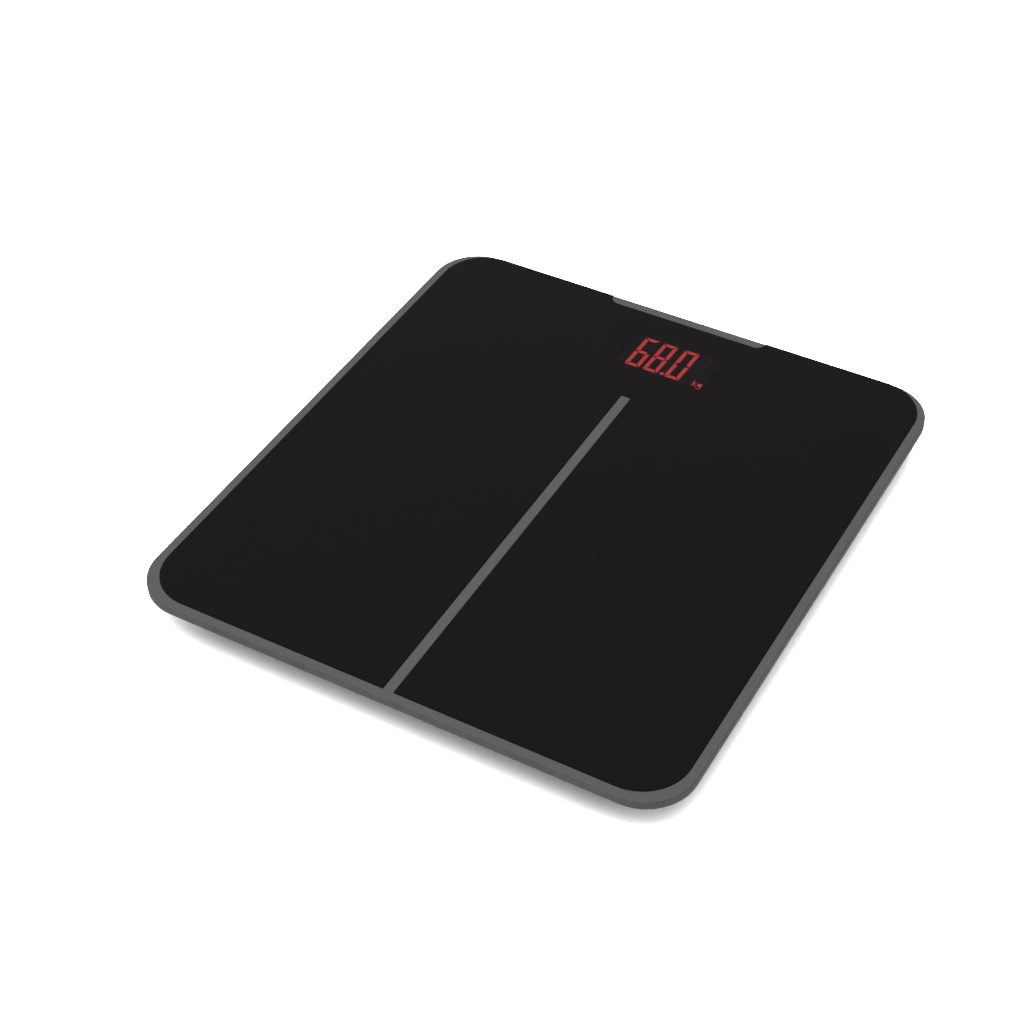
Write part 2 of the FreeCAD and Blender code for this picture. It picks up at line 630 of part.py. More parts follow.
def legend_letters(grow=0.0):
    """The unit letters k and g beside the digits."""
    left = digit_origin(2)[0] + DIGIT_WIDTH + LEGEND_OFFSET
    base = digit_origin(2)[1] - LEGEND_DROP
    width = LEGEND_STROKE + 2 * grow
    tall = LEGEND_HEIGHT
    k = fused([
        stroke(left + 0.4, base + 0.4 - grow, left + 0.4, base + 0.4 + tall + grow, width),
        stroke(left + 0.4, base + 1.5, left + 2.3 + grow, base + 3.5 + grow, width),
        stroke(left + 0.9, base + 2.0, left + 2.5 + grow, base + 0.5 - grow, width),
    ])
    bowl = left + 4.2
    centre = base + 2.2
    g = fused([
        ring(1.25 + grow, 1.25 - LEGEND_STROKE - grow, HOUSING_TOP, MASK_TOP, bowl, centre),
        stroke(bowl + 1.0, centre + 1.25 + grow, bowl + 1.0, base - 0.75 - grow, width),
        stroke(bowl + 1.0 + grow, base - 0.75, bowl - 1.0 - grow, base - 0.75, width),
    ])
    return [k, g]


def display_mask():
    """Black mask plate with an opening round every bar, the point and the letters."""
    plate = block(DISPLAY_WIDTH, DISPLAY_LENGTH, HOUSING_TOP, MASK_TOP, DISPLAY_X, DISPLAY_Y)
    holes = [bar_prism(place, bar, SEGMENT_GAP) for place, bar in lit_bars() + dark_bars()]
    holes.append(point_prism(SEGMENT_GAP))
    holes += legend_letters(SEGMENT_GAP)
    plate = plate.cut(holes[0].multiFuse(holes[1:]))
    return max(plate.Solids, key=lambda s: s.Volume)


def pin_places():
    """Where the display's pins stand."""
    first = DISPLAY_X - (PIN_COUNT - 1) * PIN_PITCH / 2
    return [(first + i * PIN_PITCH, DISPLAY_Y + end * (DISPLAY_LENGTH / 2 - 2.5))
            for end in (-1, 1) for i in range(PIN_COUNT)]


def display_housing():
    """Reflector block under the mask."""
    housing = block(DISPLAY_WIDTH, DISPLAY_LENGTH, BOARD_TOP, HOUSING_TOP, DISPLAY_X, DISPLAY_Y)
    relief = block(DISPLAY_WIDTH - 6, DISPLAY_LENGTH - 12, BOARD_TOP, BOARD_TOP + 2.0, DISPLAY_X, DISPLAY_Y)
    return housing.cut(relief)


def display_pins():
    """Two rows of pins from the display module through the board."""
    tip = BOARD_BOTTOM - PIN_REACH
    return Part.Compound([rod(PIN_RADIUS, tip, BOARD_TOP, x, y) for x, y in pin_places()])


def display_gasket():
    """Foam ring that seals the display module against the deck."""
    hole_width = DISPLAY_WIDTH + 2 * FIT_GAP
    hole_length = DISPLAY_LENGTH + 2 * FIT_GAP
    outer = rounded_block(hole_width + 2 * GASKET_WALL, hole_length + 2 * GASKET_WALL, 1,
                          BOARD_TOP, FRAME_BOTTOM, DISPLAY_X, DISPLAY_Y)
    return outer.cut(block(hole_width, hole_length, BOARD_TOP, FRAME_BOTTOM, DISPLAY_X, DISPLAY_Y))


# ---- Circuit board --------------------------------------------------------------------------
def circuit_board():
    """Main board with its screw holes and pin holes."""
    board = rounded_block(BOARD_WIDTH, BOARD_LENGTH, 2, BOARD_BOTTOM, BOARD_TOP, 0, BOARD_Y)
    holes = [rod(SMALL_SCREW_RADIUS + SCREW_FIT, BOARD_BOTTOM, BOARD_TOP, x, y) for x, y in BOARD_SCREWS]
    holes += [rod(PIN_RADIUS + SCREW_FIT, BOARD_BOTTOM, BOARD_TOP, x, y) for x, y in pin_places()]
    return board.cut(holes[0].multiFuse(holes[1:]))


def chip(x, y, width, length, height, legs):
    """Flat chip under the board with rows of legs along two sides."""
    top = BOARD_BOTTOM - 0.1
    pieces = [block(width, length, top - height, top, x, y)]
    for i in range(legs):
        leg_x = x + (i - (legs - 1) / 2) * (width - 1.0) / (legs - 1)
        for side in (-1, 1):
            leg_y = y + side * (length / 2 + 0.4)
            pieces.append(block(0.4, 1.0, BOARD_BOTTOM - 0.6, BOARD_BOTTOM, leg_x, leg_y))
    return fused(pieces)


def controller_chip():
    """Controller chip."""
    return chip(12.0, BOARD_Y + 3.0, 10.0, 6.0, 1.5, 8)


def amplifier_chip():
    """Load-cell amplifier chip."""
    return chip(-12.0, BOARD_Y + 3.0, 6.0, 4.0, 1.4, 4)


def board_capacitors():
    """Two upright cans and a row of small ceramic blocks."""
    cans = [rod(2.5, BOARD_BOTTOM - 6.0, BOARD_BOTTOM, x, BUTTON_Y) for x in (12.0, 20.0)]
    row_y = BOARD_Y + 11.0
    blocks = [block(2.0, 1.2, BOARD_BOTTOM - 0.7, BOARD_BOTTOM, -20.0 + 5.0 * i, row_y) for i in range(9)]
    return Part.Compound(cans + blocks)


def lead_connectors():
    """Plugs for the four load-cell leads and the two battery leads."""
    bottom = BOARD_BOTTOM - CONNECTOR_HEIGHT
    plugs = []
    for side in (-1, 1):
        x = side * (BOARD_WIDTH - CONNECTOR_DEPTH) / 2
        for y in (FRONT_CONNECTOR_Y, BACK_CONNECTOR_Y):
            plugs.append(block(CONNECTOR_DEPTH, CONNECTOR_WIDTH, bottom, BOARD_BOTTOM, x, y))
        plugs.append(block(4.0, 5.0, bottom, BOARD_BOTTOM, side * BATTERY_LEAD_X, BATTERY_PLUG_FRONT + 2.5))
    return Part.Compound(plugs)


def board_screws():
    """Four screws that hold the board."""
    return Part.Compound([
        screw(SMALL_SCREW_RADIUS, SMALL_SCREW_HEAD_RADIUS, SMALL_SCREW_HEAD,
              BOARD_THICKNESS + 2.2, BOARD_BOTTOM, x, y)
        for x, y in BOARD_SCREWS
    ])


# ---- Unit button ----------------------------------------------------------------------------
def switch_body():
    """Push switch under the board, bored deep enough for the plunger's travel."""
    body = block(SWITCH_SIZE, SWITCH_SIZE, SWITCH_BOTTOM, BOARD_BOTTOM, BUTTON_X, BUTTON_Y)
    bore_top = PLUNGER_TOP + BUTTON_TRAVEL + 0.3
    return body.cut(rod(PLUNGER_RADIUS + PLUNGER_FIT, SWITCH_BOTTOM, bore_top, BUTTON_X, BUTTON_Y))


def switch_plunger():
    """Plunger of the push switch; it moves with the button."""
    return rod(PLUNGER_RADIUS, PLUNGER_BOTTOM, PLUNGER_TOP, BUTTON_X, BUTTON_Y)


def unit_button():
    """Unit button: a cap in the cover, a keeper flange inside, and a stem up to the plunger."""
    face = COVER_BOTTOM + BUTTON_RECESS
    top = FLANGE_BOTTOM + 0.9
    cap = rounded_block(BUTTON_WIDTH, BUTTON_LENGTH, 2, face, top, BUTTON_X, BUTTON_Y)
    flange = rounded_block(BUTTON_WIDTH + 4, BUTTON_LENGTH + 4, 3, FLANGE_BOTTOM, top, BUTTON_X, BUTTON_Y)
    stem = rod(2.4, FLANGE_BOTTOM, PLUNGER_BOTTOM, BUTTON_X, BUTTON_Y)
    dish = rounded_block(BUTTON_WIDTH - 3, BUTTON_LENGTH - 3, 1, face, face + 0.3, BUTTON_X, BUTTON_Y)
    return fused([cap, flange, stem]).cut(dish)


# ---- Lower cover ----------------------------------------------------------------------------
def cover_shell():
    """Tray with sloping sides and a bevelled bottom edge."""
    bevel_top = COVER_BOTTOM + COVER_BEVEL
    inset = COVER_BOTTOM_INSET + COVER_BEVEL
    foot_line = rounded_wire(FRAME_WIDTH - 2 * inset, FRAME_LENGTH - 2 * inset,
                             COVER_BOTTOM_CORNER - COVER_BEVEL, COVER_BOTTOM)
    outside = Part.makeLoft([foot_line, cover_outline(bevel_top), cover_outline(FRAME_BOTTOM)], True, True)
    inner_lines = [cover_outline(COVER_FLOOR, COVER_WALL), cover_outline(FRAME_BOTTOM, COVER_WALL)]
    inside = Part.makeLoft(inner_lines, True, True)
    return outside.cut(inside)


def battery_box():
    """Walls of the battery box, standing on the cover's floor."""
    centre = (BOX_FRONT + BOX_BACK) / 2
    length = BOX_BACK - BOX_FRONT
    walls = block(BOX_INNER_X + 2 * BOX_WALL, length + 2 * BOX_WALL, COVER_BOTTOM, BOX_TOP, 0, centre)
    walls = walls.cut(block(BOX_INNER_X, length, COVER_FLOOR, BOX_TOP, 0, centre))
    for side in (-1, 1):
        y = BATTERY_Y - side * AAA_PITCH
        slot = block(BOX_WALL, 3.6, TAG_TOP - CONTACT_THICKNESS - 0.3, TAG_TOP + 0.3,
                     side * (BOX_INNER_X + BOX_WALL) / 2, y)
        walls = walls.cut(slot)
    return walls


def lower_cover():
    """Lower cover with foot openings, screw cups, battery box and button opening."""
    pieces = [cover_shell(), battery_box()]
    for x, y in COVER_SCREWS:
        pieces.append(rod(SCREW_CUP_RADIUS, COVER_BOTTOM, SCREW_CUP_TOP, x, y))
    collar = FOOT_RADIUS + FOOT_FLANGE + FOOT_HOLE_GAP
    collar_top = FLANGE_TOP + FOOT_TRAVEL + 0.6
    for sx, sy in CORNERS.values():
        pieces.append(ring(collar + 1.5, collar, COVER_BOTTOM, collar_top, sx * FOOT_X, sy * FOOT_Y))
    cover = pieces[0].multiFuse(pieces[1:])
    holes = []
    for x, y in COVER_SCREWS:
        holes.append(rod(COVER_SCREW_HEAD_RADIUS + 0.4, COVER_BOTTOM, COVER_BOTTOM + SCREW_CUP_DEPTH, x, y))
        holes.append(rod(COVER_SCREW_RADIUS + SCREW_FIT, COVER_BOTTOM, SCREW_CUP_TOP, x, y))
    for sx, sy in CORNERS.values():
        holes.append(rod(FOOT_RADIUS + FOOT_HOLE_GAP, COVER_BOTTOM, COVER_FLOOR, sx * FOOT_X, sy * FOOT_Y))
    holes.append(rounded_block(BUTTON_WIDTH + 0.5, BUTTON_LENGTH + 0.5, 2.2, COVER_BOTTOM, COVER_FLOOR,
                               BUTTON_X, BUTTON_Y))
    holes.append(block(DOOR_WIDTH + 2 * DOOR_GAP, DOOR_LENGTH + 2 * DOOR_GAP, COVER_BOTTOM, COVER_FLOOR,
                       0, BATTERY_Y))
    scoop_y = BATTERY_Y + DOOR_LENGTH / 2 + 1.5
    holes.append(rounded_block(LATCH_WIDTH, 9.0, 3, COVER_BOTTOM, COVER_BOTTOM + 0.9, 0, scoop_y))
    holes.append(rounded_block(LABEL_WIDTH + 0.6, LABEL_LENGTH + 0.6, 2.3, COVER_BOTTOM,
                               COVER_BOTTOM + LABEL_THICKNESS, 0, LABEL_Y))
    return cover.cut(holes[0].multiFuse(holes[1:])).removeSplitter()


def cover_screws():
    """Eight screws that hold the lower cover to the frame."""
    return Part.Compound([
        screw(COVER_SCREW_RADIUS, COVER_SCREW_HEAD_RADIUS, COVER_SCREW_HEAD, COVER_SCREW_LENGTH,
              COVER_BOTTOM + SCREW_CUP_DEPTH, x, y)
        for x, y in COVER_SCREWS
    ])


def rating_label():
    """Blank label sunk in the cover's underside."""
    top = COVER_BOTTOM + LABEL_THICKNESS
    return rounded_block(LABEL_WIDTH, LABEL_LENGTH, 2, COVER_BOTTOM, top, 0, LABEL_Y)


# ---- Battery door, cells and contacts ---------------------------------------------------------
def battery_door():
    """Door with a rounded hinge edge, two keeper tabs and a springy latch tongue."""
    back = BATTERY_Y + DOOR_LENGTH / 2
    left = -DOOR_WIDTH / 2
    along = Vector(1, 0, 0)
    plate = Part.makeBox(DOOR_WIDTH, back - HINGE_Y, DOOR_THICKNESS, Vector(left, HINGE_Y, COVER_BOTTOM))
    barrel = Part.makeCylinder(DOOR_THICKNESS / 2, DOOR_WIDTH, Vector(left, HINGE_Y, HINGE_Z), along)
    tab_bottom = COVER_FLOOR + 0.15
    tab_top = tab_bottom + DOOR_TAB_THICKNESS
    tab_front = BATTERY_Y - DOOR_LENGTH / 2 - DOOR_GAP - DOOR_TAB_REACH
    tab_back = HINGE_Y + 1.2
    pieces = [plate, barrel]
    for side in (-1, 1):
        x = side * DOOR_TAB_SPACING / 2
        pieces.append(block(DOOR_TAB_WIDTH, tab_back - tab_front, tab_bottom, tab_top,
                            x, (tab_back + tab_front) / 2))
        pieces.append(block(DOOR_TAB_WIDTH, tab_back - HINGE_Y, HINGE_Z, tab_top,
                            x, (tab_back + HINGE_Y) / 2))
    pieces.append(block(LATCH_WIDTH - 4, 0.2, COVER_BOTTOM + 0.4, DOOR_TOP - 0.2, 0, back + 0.1))
    door = fused(pieces)
    for side in (-1, 1):
        door = door.cut(block(LATCH_SLOT, LATCH_LENGTH, COVER_BOTTOM, DOOR_TOP,
                              side * (LATCH_WIDTH + LATCH_SLOT) / 2, back - LATCH_LENGTH / 2))
    for i in range(3):
        y = back - 1.8 - 1.6 * i
        door = door.cut(block(LATCH_WIDTH - 4, 0.6, COVER_BOTTOM, COVER_BOTTOM + 0.4, 0, y))
    return door


def door_foam_pad():
    """Foam pad inside the door that keeps the cells from rattling."""
    centre = BATTERY_Y - 1.5
    top = DOOR_TOP + DOOR_PAD_THICKNESS
    return rounded_block(AAA_LENGTH * 0.7, DOOR_LENGTH - 10.0, 1, DOOR_TOP, top, 0, centre)


def cell_rows():
    """(y, side) of each cell: side is the end that the positive nub points to."""
    first = BATTERY_Y - (AAA_COUNT - 1) * AAA_PITCH / 2
    return [(first + i * AAA_PITCH, 1 if i % 2 == 0 else -1) for i in range(AAA_COUNT)]


def aaa_cells():
    """Three AAA cells, alternate ends up."""
    cells = []
    for y, side in cell_rows():
        tip = side * (BOX_INNER_X / 2 - CONTACT_THICKNESS - CONTACT_DIMPLE)
        shoulder = tip - side * AAA_NUB_LENGTH
        base = tip - side * AAA_LENGTH
        along = Vector(-side, 0, 0)
        body = Part.makeCylinder(AAA_RADIUS, abs(shoulder - base), Vector(shoulder, y, AAA_Z), along)
        body = body.makeFillet(0.5, [e for e in body.Edges if e.Curve.TypeId == "Part::GeomCircle"])
        nub = Part.makeCylinder(AAA_NUB_RADIUS, AAA_NUB_LENGTH, Vector(tip, y, AAA_Z), along)
        cells.append(body.fuse(nub))
    return Part.Compound(cells)


def spring_coil(height):
    """Upright coil of round wire, swept along a helix that is made of half turns."""
    rise = height / SPRING_TURNS / 2
    edges = []
    for i in range(int(2 * SPRING_TURNS)):
        half_turn = Part.makeHelix(2 * rise, rise, SPRING_RADIUS)
        half_turn.rotate(Vector(0, 0, 0), Vector(0, 0, 1), 180 * i)
        half_turn.translate(Vector(0, 0, rise * i))
        edges += half_turn.Edges
    start = edges[0].FirstParameter
    section = Part.makeCircle(SPRING_WIRE, edges[0].valueAt(start), edges[0].tangentAt(start))
    return Part.Wire(edges).makePipeShell([Part.Wire([section])], True, True)


def contact_springs():
    """Coil springs on the negative ends."""
    springs = []
    height = SPRING_SPACE - 2 * SPRING_WIRE
    for y, side in cell_rows():
        spring = spring_coil(height)
        spring.rotate(Vector(0, 0, 0), Vector(0, 1, 0), 90)
        start = -side * (BOX_INNER_X / 2 - CONTACT_THICKNESS - SPRING_WIRE)
        if side < 0:
            start = start - height
        spring.translate(Vector(start, y, AAA_Z))
        springs.append(spring)
    return Part.Compound(springs)


def contact_plate(side, rows, dimples, tag):
    """One sprung-steel contact plate on an end wall, spanning the given cell rows."""
    wall = side * (BOX_INNER_X - CONTACT_THICKNESS) / 2
    low = min(rows)
    high = max(rows)
    bottom = AAA_Z - CONTACT_SIZE / 2
    pieces = [block(CONTACT_THICKNESS, high - low + CONTACT_SIZE, bottom, bottom + CONTACT_SIZE,
                    wall, (low + high) / 2)]
    inner = side * (BOX_INNER_X / 2 - CONTACT_THICKNESS)
    inwards = Vector(-side, 0, 0)
    for y in dimples:
        pieces.append(Part.makeCylinder(AAA_NUB_RADIUS, CONTACT_DIMPLE, Vector(inner, y, AAA_Z), inwards))
    if tag:
        outer = BOX_INNER_X / 2 + BOX_WALL + TAG_REACH
        width = outer - BOX_INNER_X / 2 + CONTACT_THICKNESS / 2
        centre = side * (outer - width / 2)
        pieces.append(block(width, 3.0, TAG_TOP - CONTACT_THICKNESS, TAG_TOP, centre, rows[0]))
    return fused(pieces)


def contact_plates():
    """Two end plates with solder tags and two linking plates."""
    rows = [y for y, _ in cell_rows()]
    return Part.Compound([
        contact_plate(1, rows[:1], rows[:1], True),
        contact_plate(1, rows[1:], rows[2:], False),
        contact_plate(-1, rows[:2], rows[1:2], False),
        contact_plate(-1, rows[2:], [], True),
    ])


def battery_lead(side):
    """Lead from a solder tag to its plug on the board."""
    rows = [y for y, _ in cell_rows()]
    tag_y = rows[0] if side > 0 else rows[-1]
    x = side * (BOX_INNER_X / 2 + BOX_WALL + TAG_REACH - 1.1)
    knee = side * (BATTERY_LEAD_X + 3.5)
    plug = side * BATTERY_LEAD_X
    end = BATTERY_PLUG_FRONT
    middle = (tag_y + end) / 2
    points = [
        (x, tag_y - 1.4, BATTERY_LEAD_Z),
        (x, tag_y + 6.0, BATTERY_LEAD_Z),
        (knee, middle, BATTERY_LEAD_Z),
        (plug, end - 6.0, BATTERY_LEAD_Z),
        (plug, end, BATTERY_LEAD_Z),
    ]
    return lead_along(points, BATTERY_LEAD_RADIUS)


# ---- Feet and load cells ----------------------------------------------------------------------
def load_cell(sx, sy):
    """Steel load cell: square frame with a sprung tongue cut out by a U-shaped slot."""
    x = sx * FOOT_X
    y = sy * FOOT_Y
    plate = rounded_block(CELL_SIZE, CELL_SIZE, 3, CELL_BOTTOM, CELL_TOP, x, y)
    root = y - TONGUE_LENGTH / 2
    tip = y + TONGUE_LENGTH / 2
    for side in (-1, 1):
        slot_x = x + side * (TONGUE_WIDTH + CELL_SLOT) / 2
        plate = plate.cut(block(CELL_SLOT, TONGUE_LENGTH, CELL_BOTTOM, CELL_TOP, slot_x, (root + tip) / 2))
    across = TONGUE_WIDTH + 2 * CELL_SLOT
    return plate.cut(block(across, CELL_SLOT, CELL_BOTTOM, CELL_TOP, x, tip + CELL_SLOT / 2))


def gauge_covers():
    """Silicone beads over the strain gauges."""
    beads = []
    for sx, sy in CORNERS.values():
        bead = rounded_block(GAUGE_SIZE, GAUGE_SIZE, 2, CELL_TOP, CELL_TOP + GAUGE_HEIGHT,
                             sx * FOOT_X, sy * FOOT_Y - GAUGE_OFFSET)
        beads.append(bead.makeFillet(0.8, edges_at(bead, CELL_TOP + GAUGE_HEIGHT)))
    return Part.Compound(beads)


def cell_retainers():
    """Steel frames that hold the load cells up against their seats."""
    frames = []
    for sx, sy in CORNERS.values():
        x = sx * FOOT_X
        y = sy * FOOT_Y
        frame = rounded_block(CELL_SIZE + 2, RETAINER_LENGTH, 4, RETAINER_BOTTOM, CELL_BOTTOM, x, y)
        opening = SEAT_OPENING - 3.0
        frame = frame.cut(rounded_block(opening, opening, 3, RETAINER_BOTTOM, CELL_BOTTOM, x, y))
        for end in (-1, 1):
            frame = frame.cut(rod(SMALL_SCREW_RADIUS + SCREW_FIT, RETAINER_BOTTOM, CELL_BOTTOM,
                                  x, y + end * RETAINER_SCREW_OFFSET))
        frames.append(frame)
    return Part.Compound(frames)


def retainer_screws():
    """Two screws for each retainer."""
    return Part.Compound([
        screw(SMALL_SCREW_RADIUS, SMALL_SCREW_HEAD_RADIUS, SMALL_SCREW_HEAD, RETAINER_THICKNESS + 4.0,
              RETAINER_BOTTOM, sx * FOOT_X, sy * FOOT_Y + end * RETAINER_SCREW_OFFSET)
        for sx, sy in CORNERS.values() for end in (-1, 1)
    ])


def foot_cap(sx, sy):
    """Foot: a cup in the cover's opening, a keeper flange, and a gusseted post up to the load cell."""
    x = sx * FOOT_X
    y = sy * FOOT_Y
    cup = rod(FOOT_RADIUS, FOOT_BOTTOM, FLANGE_TOP, x, y)
    cup = cup.makeFillet(0.8, edges_at(cup, FOOT_BOTTOM))
    cup = cup.fuse(rod(FOOT_RADIUS + FOOT_FLANGE, FLANGE_BOTTOM, FLANGE_TOP, x, y))
    cup = cup.cut(rod(FOOT_RADIUS - FOOT_WALL, FOOT_BOTTOM + FOOT_FLOOR, FLANGE_TOP, x, y))
    post = rod(FOOT_POST_RADIUS, FOOT_BOTTOM, CELL_BOTTOM, x, y)
    span = 2 * FOOT_RADIUS - FOOT_WALL
    base = FOOT_BOTTOM + FOOT_FLOOR / 2
    gussets = [block(width, length, base, FLANGE_TOP, x, y) for width, length in ((span, 1.4), (1.4, span))]
    cap = fused([cup, post] + gussets)
    return cap.cut(rod(PAD_RADIUS, FOOT_BOTTOM, FOOT_BOTTOM + PAD_SUNK, x, y))


def foot_pad(sx, sy):
    """Rubber pad sunk in the foot, with a ring groove."""
    x = sx * FOOT_X
    y = sy * FOOT_Y
    pad = rod(PAD_RADIUS, 0, PAD_THICKNESS, x, y)
    pad = pad.makeFillet(0.4, edges_at(pad, 0))
    return pad.cut(ring(PAD_RADIUS - 3.0, PAD_RADIUS - 4.2, 0, 0.5, x, y))


def cell_lead(sx, sy):
    """Lead from a strain gauge, under the ribs, to its plug on the board."""
    y = sy * FOOT_Y - GAUGE_OFFSET
    plug = BOARD_WIDTH / 2
    points = [
        (FOOT_X - GAUGE_SIZE / 2, y, GAUGE_LEAD_Z),
        (SEAT_EDGE, y, GAUGE_LEAD_Z),
        (DROP_X, y, LEAD_Z),
    ]
    if sy > 0:
        points.append((KNEE_X, BACK_CONNECTOR_Y, LEAD_Z))
        points.append((plug, BACK_CONNECTOR_Y, LEAD_Z))
    else:
        points.append((TRUNK_X, y, LEAD_Z))
        points.append((TRUNK_X, FRONT_CONNECTOR_Y, LEAD_Z))
        points.append((plug, FRONT_CONNECTOR_Y, LEAD_Z))
    return lead_along([(sx * px, py, pz) for px, py, pz in points], LEAD_RADIUS)


# ---- All the parts ----------------------------------------------------------------------------
def all_parts():
    """Every sub-part by name."""
    parts = {
        "platform_frame": platform_frame(),
        "top_panel": top_panel(),
        "panel_tape": panel_tape(),
        "display_lens": display_lens(),
        "display_gasket": display_gasket(),
        "display_mask": display_mask(),
        "display_housing": display_housing(),
        "display_pins": display_pins(),
        "lit_segments": Part.Compound([bar_prism(p, b) for p, b in lit_bars()] + [point_prism()]),
        "dark_segments": Part.Compound([bar_prism(p, b) for p, b in dark_bars()]),
        "unit_legend": Part.Compound(legend_letters()),
        "circuit_board": circuit_board(),
        "controller_chip": controller_chip(),
        "amplifier_chip": amplifier_chip(),
        "board_capacitors": board_capacitors(),
        "lead_connectors": lead_connectors(),
        "board_screws": board_screws(),
        "switch_body": switch_body(),
        "switch_plunger": switch_plunger(),
        "unit_button": unit_button(),
        "lower_cover": lower_cover(),
        "cover_screws": cover_screws(),
        "rating_label": rating_label(),
        "battery_door": battery_door(),
        "door_foam_pad": door_foam_pad(),
        "aaa_cells": aaa_cells(),
        "contact_springs": contact_springs(),
        "contact_plates": contact_plates(),
        "battery_lead_red": battery_lead(1),
        "battery_lead_black": battery_lead(-1),
        "gauge_covers": gauge_covers(),
        "cell_retainers": cell_retainers(),
        "retainer_screws": retainer_screws(),
    }
    for corner, (sx, sy) in CORNERS.items():
        parts["load_cell_" + corner] = load_cell(sx, sy)
        parts["cell_lead_" + corner] = cell_lead(sx, sy)
        parts["foot_cap_" + corner] = foot_cap(sx, sy)
        parts["foot_pad_" + corner] = foot_pad(sx, sy)
    return parts


def main():
    """Build every sub-part and write one STEP file for each."""
    os.makedirs("parts", exist_ok=True)
    for name, shape in all_parts().items():
        if not shape.isValid() or not shape.Solids:
            raise ValueError("bad solid: " + name)
        shape.exportStep("parts/" + name + ".step")
        print("%-26s %2d solids %10.1f mm3" % (name, len(shape.Solids), shape.Volume))


main()
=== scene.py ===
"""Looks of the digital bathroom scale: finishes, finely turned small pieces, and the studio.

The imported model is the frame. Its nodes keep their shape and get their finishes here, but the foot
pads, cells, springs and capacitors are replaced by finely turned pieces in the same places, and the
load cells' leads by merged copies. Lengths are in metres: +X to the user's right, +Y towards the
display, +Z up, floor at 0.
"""
import json
import logging
import math
from dataclasses import dataclass
from enum import Enum
from typing import Sequence

import bmesh
import bpy
import numpy as np
from mathutils import Matrix, Vector


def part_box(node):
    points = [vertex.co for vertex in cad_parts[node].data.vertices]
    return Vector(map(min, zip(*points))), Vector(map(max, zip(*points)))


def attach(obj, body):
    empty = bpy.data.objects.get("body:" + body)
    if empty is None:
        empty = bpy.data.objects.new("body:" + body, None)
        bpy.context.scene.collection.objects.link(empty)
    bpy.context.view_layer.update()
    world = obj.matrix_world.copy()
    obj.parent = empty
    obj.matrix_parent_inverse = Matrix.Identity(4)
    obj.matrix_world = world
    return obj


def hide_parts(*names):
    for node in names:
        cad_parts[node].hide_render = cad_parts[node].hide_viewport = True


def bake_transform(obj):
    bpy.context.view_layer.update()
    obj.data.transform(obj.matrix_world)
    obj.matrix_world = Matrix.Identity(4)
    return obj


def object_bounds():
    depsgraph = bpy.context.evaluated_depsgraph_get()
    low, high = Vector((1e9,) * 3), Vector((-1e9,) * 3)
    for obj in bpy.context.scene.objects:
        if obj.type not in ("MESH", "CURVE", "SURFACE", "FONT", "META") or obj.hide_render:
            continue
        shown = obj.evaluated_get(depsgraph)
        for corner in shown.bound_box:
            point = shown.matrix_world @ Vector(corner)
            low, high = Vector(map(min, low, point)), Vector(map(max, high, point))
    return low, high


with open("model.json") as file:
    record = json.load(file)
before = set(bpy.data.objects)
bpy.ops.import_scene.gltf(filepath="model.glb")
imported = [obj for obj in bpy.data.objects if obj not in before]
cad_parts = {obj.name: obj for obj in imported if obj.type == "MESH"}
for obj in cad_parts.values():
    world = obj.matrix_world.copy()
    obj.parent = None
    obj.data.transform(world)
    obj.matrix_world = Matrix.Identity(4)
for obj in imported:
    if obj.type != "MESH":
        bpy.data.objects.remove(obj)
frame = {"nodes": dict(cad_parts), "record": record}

CAD_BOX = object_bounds()
MM = 0.001
CORNERS = ("front_left", "front_right", "back_left", "back_right")
log = logging.getLogger("scale")

Colour = tuple[float, float, float]
Socket = bpy.types.NodeSocket
Value = Socket | float
Paint = Socket | Sequence[float]
Surface = tuple[np.ndarray, list]


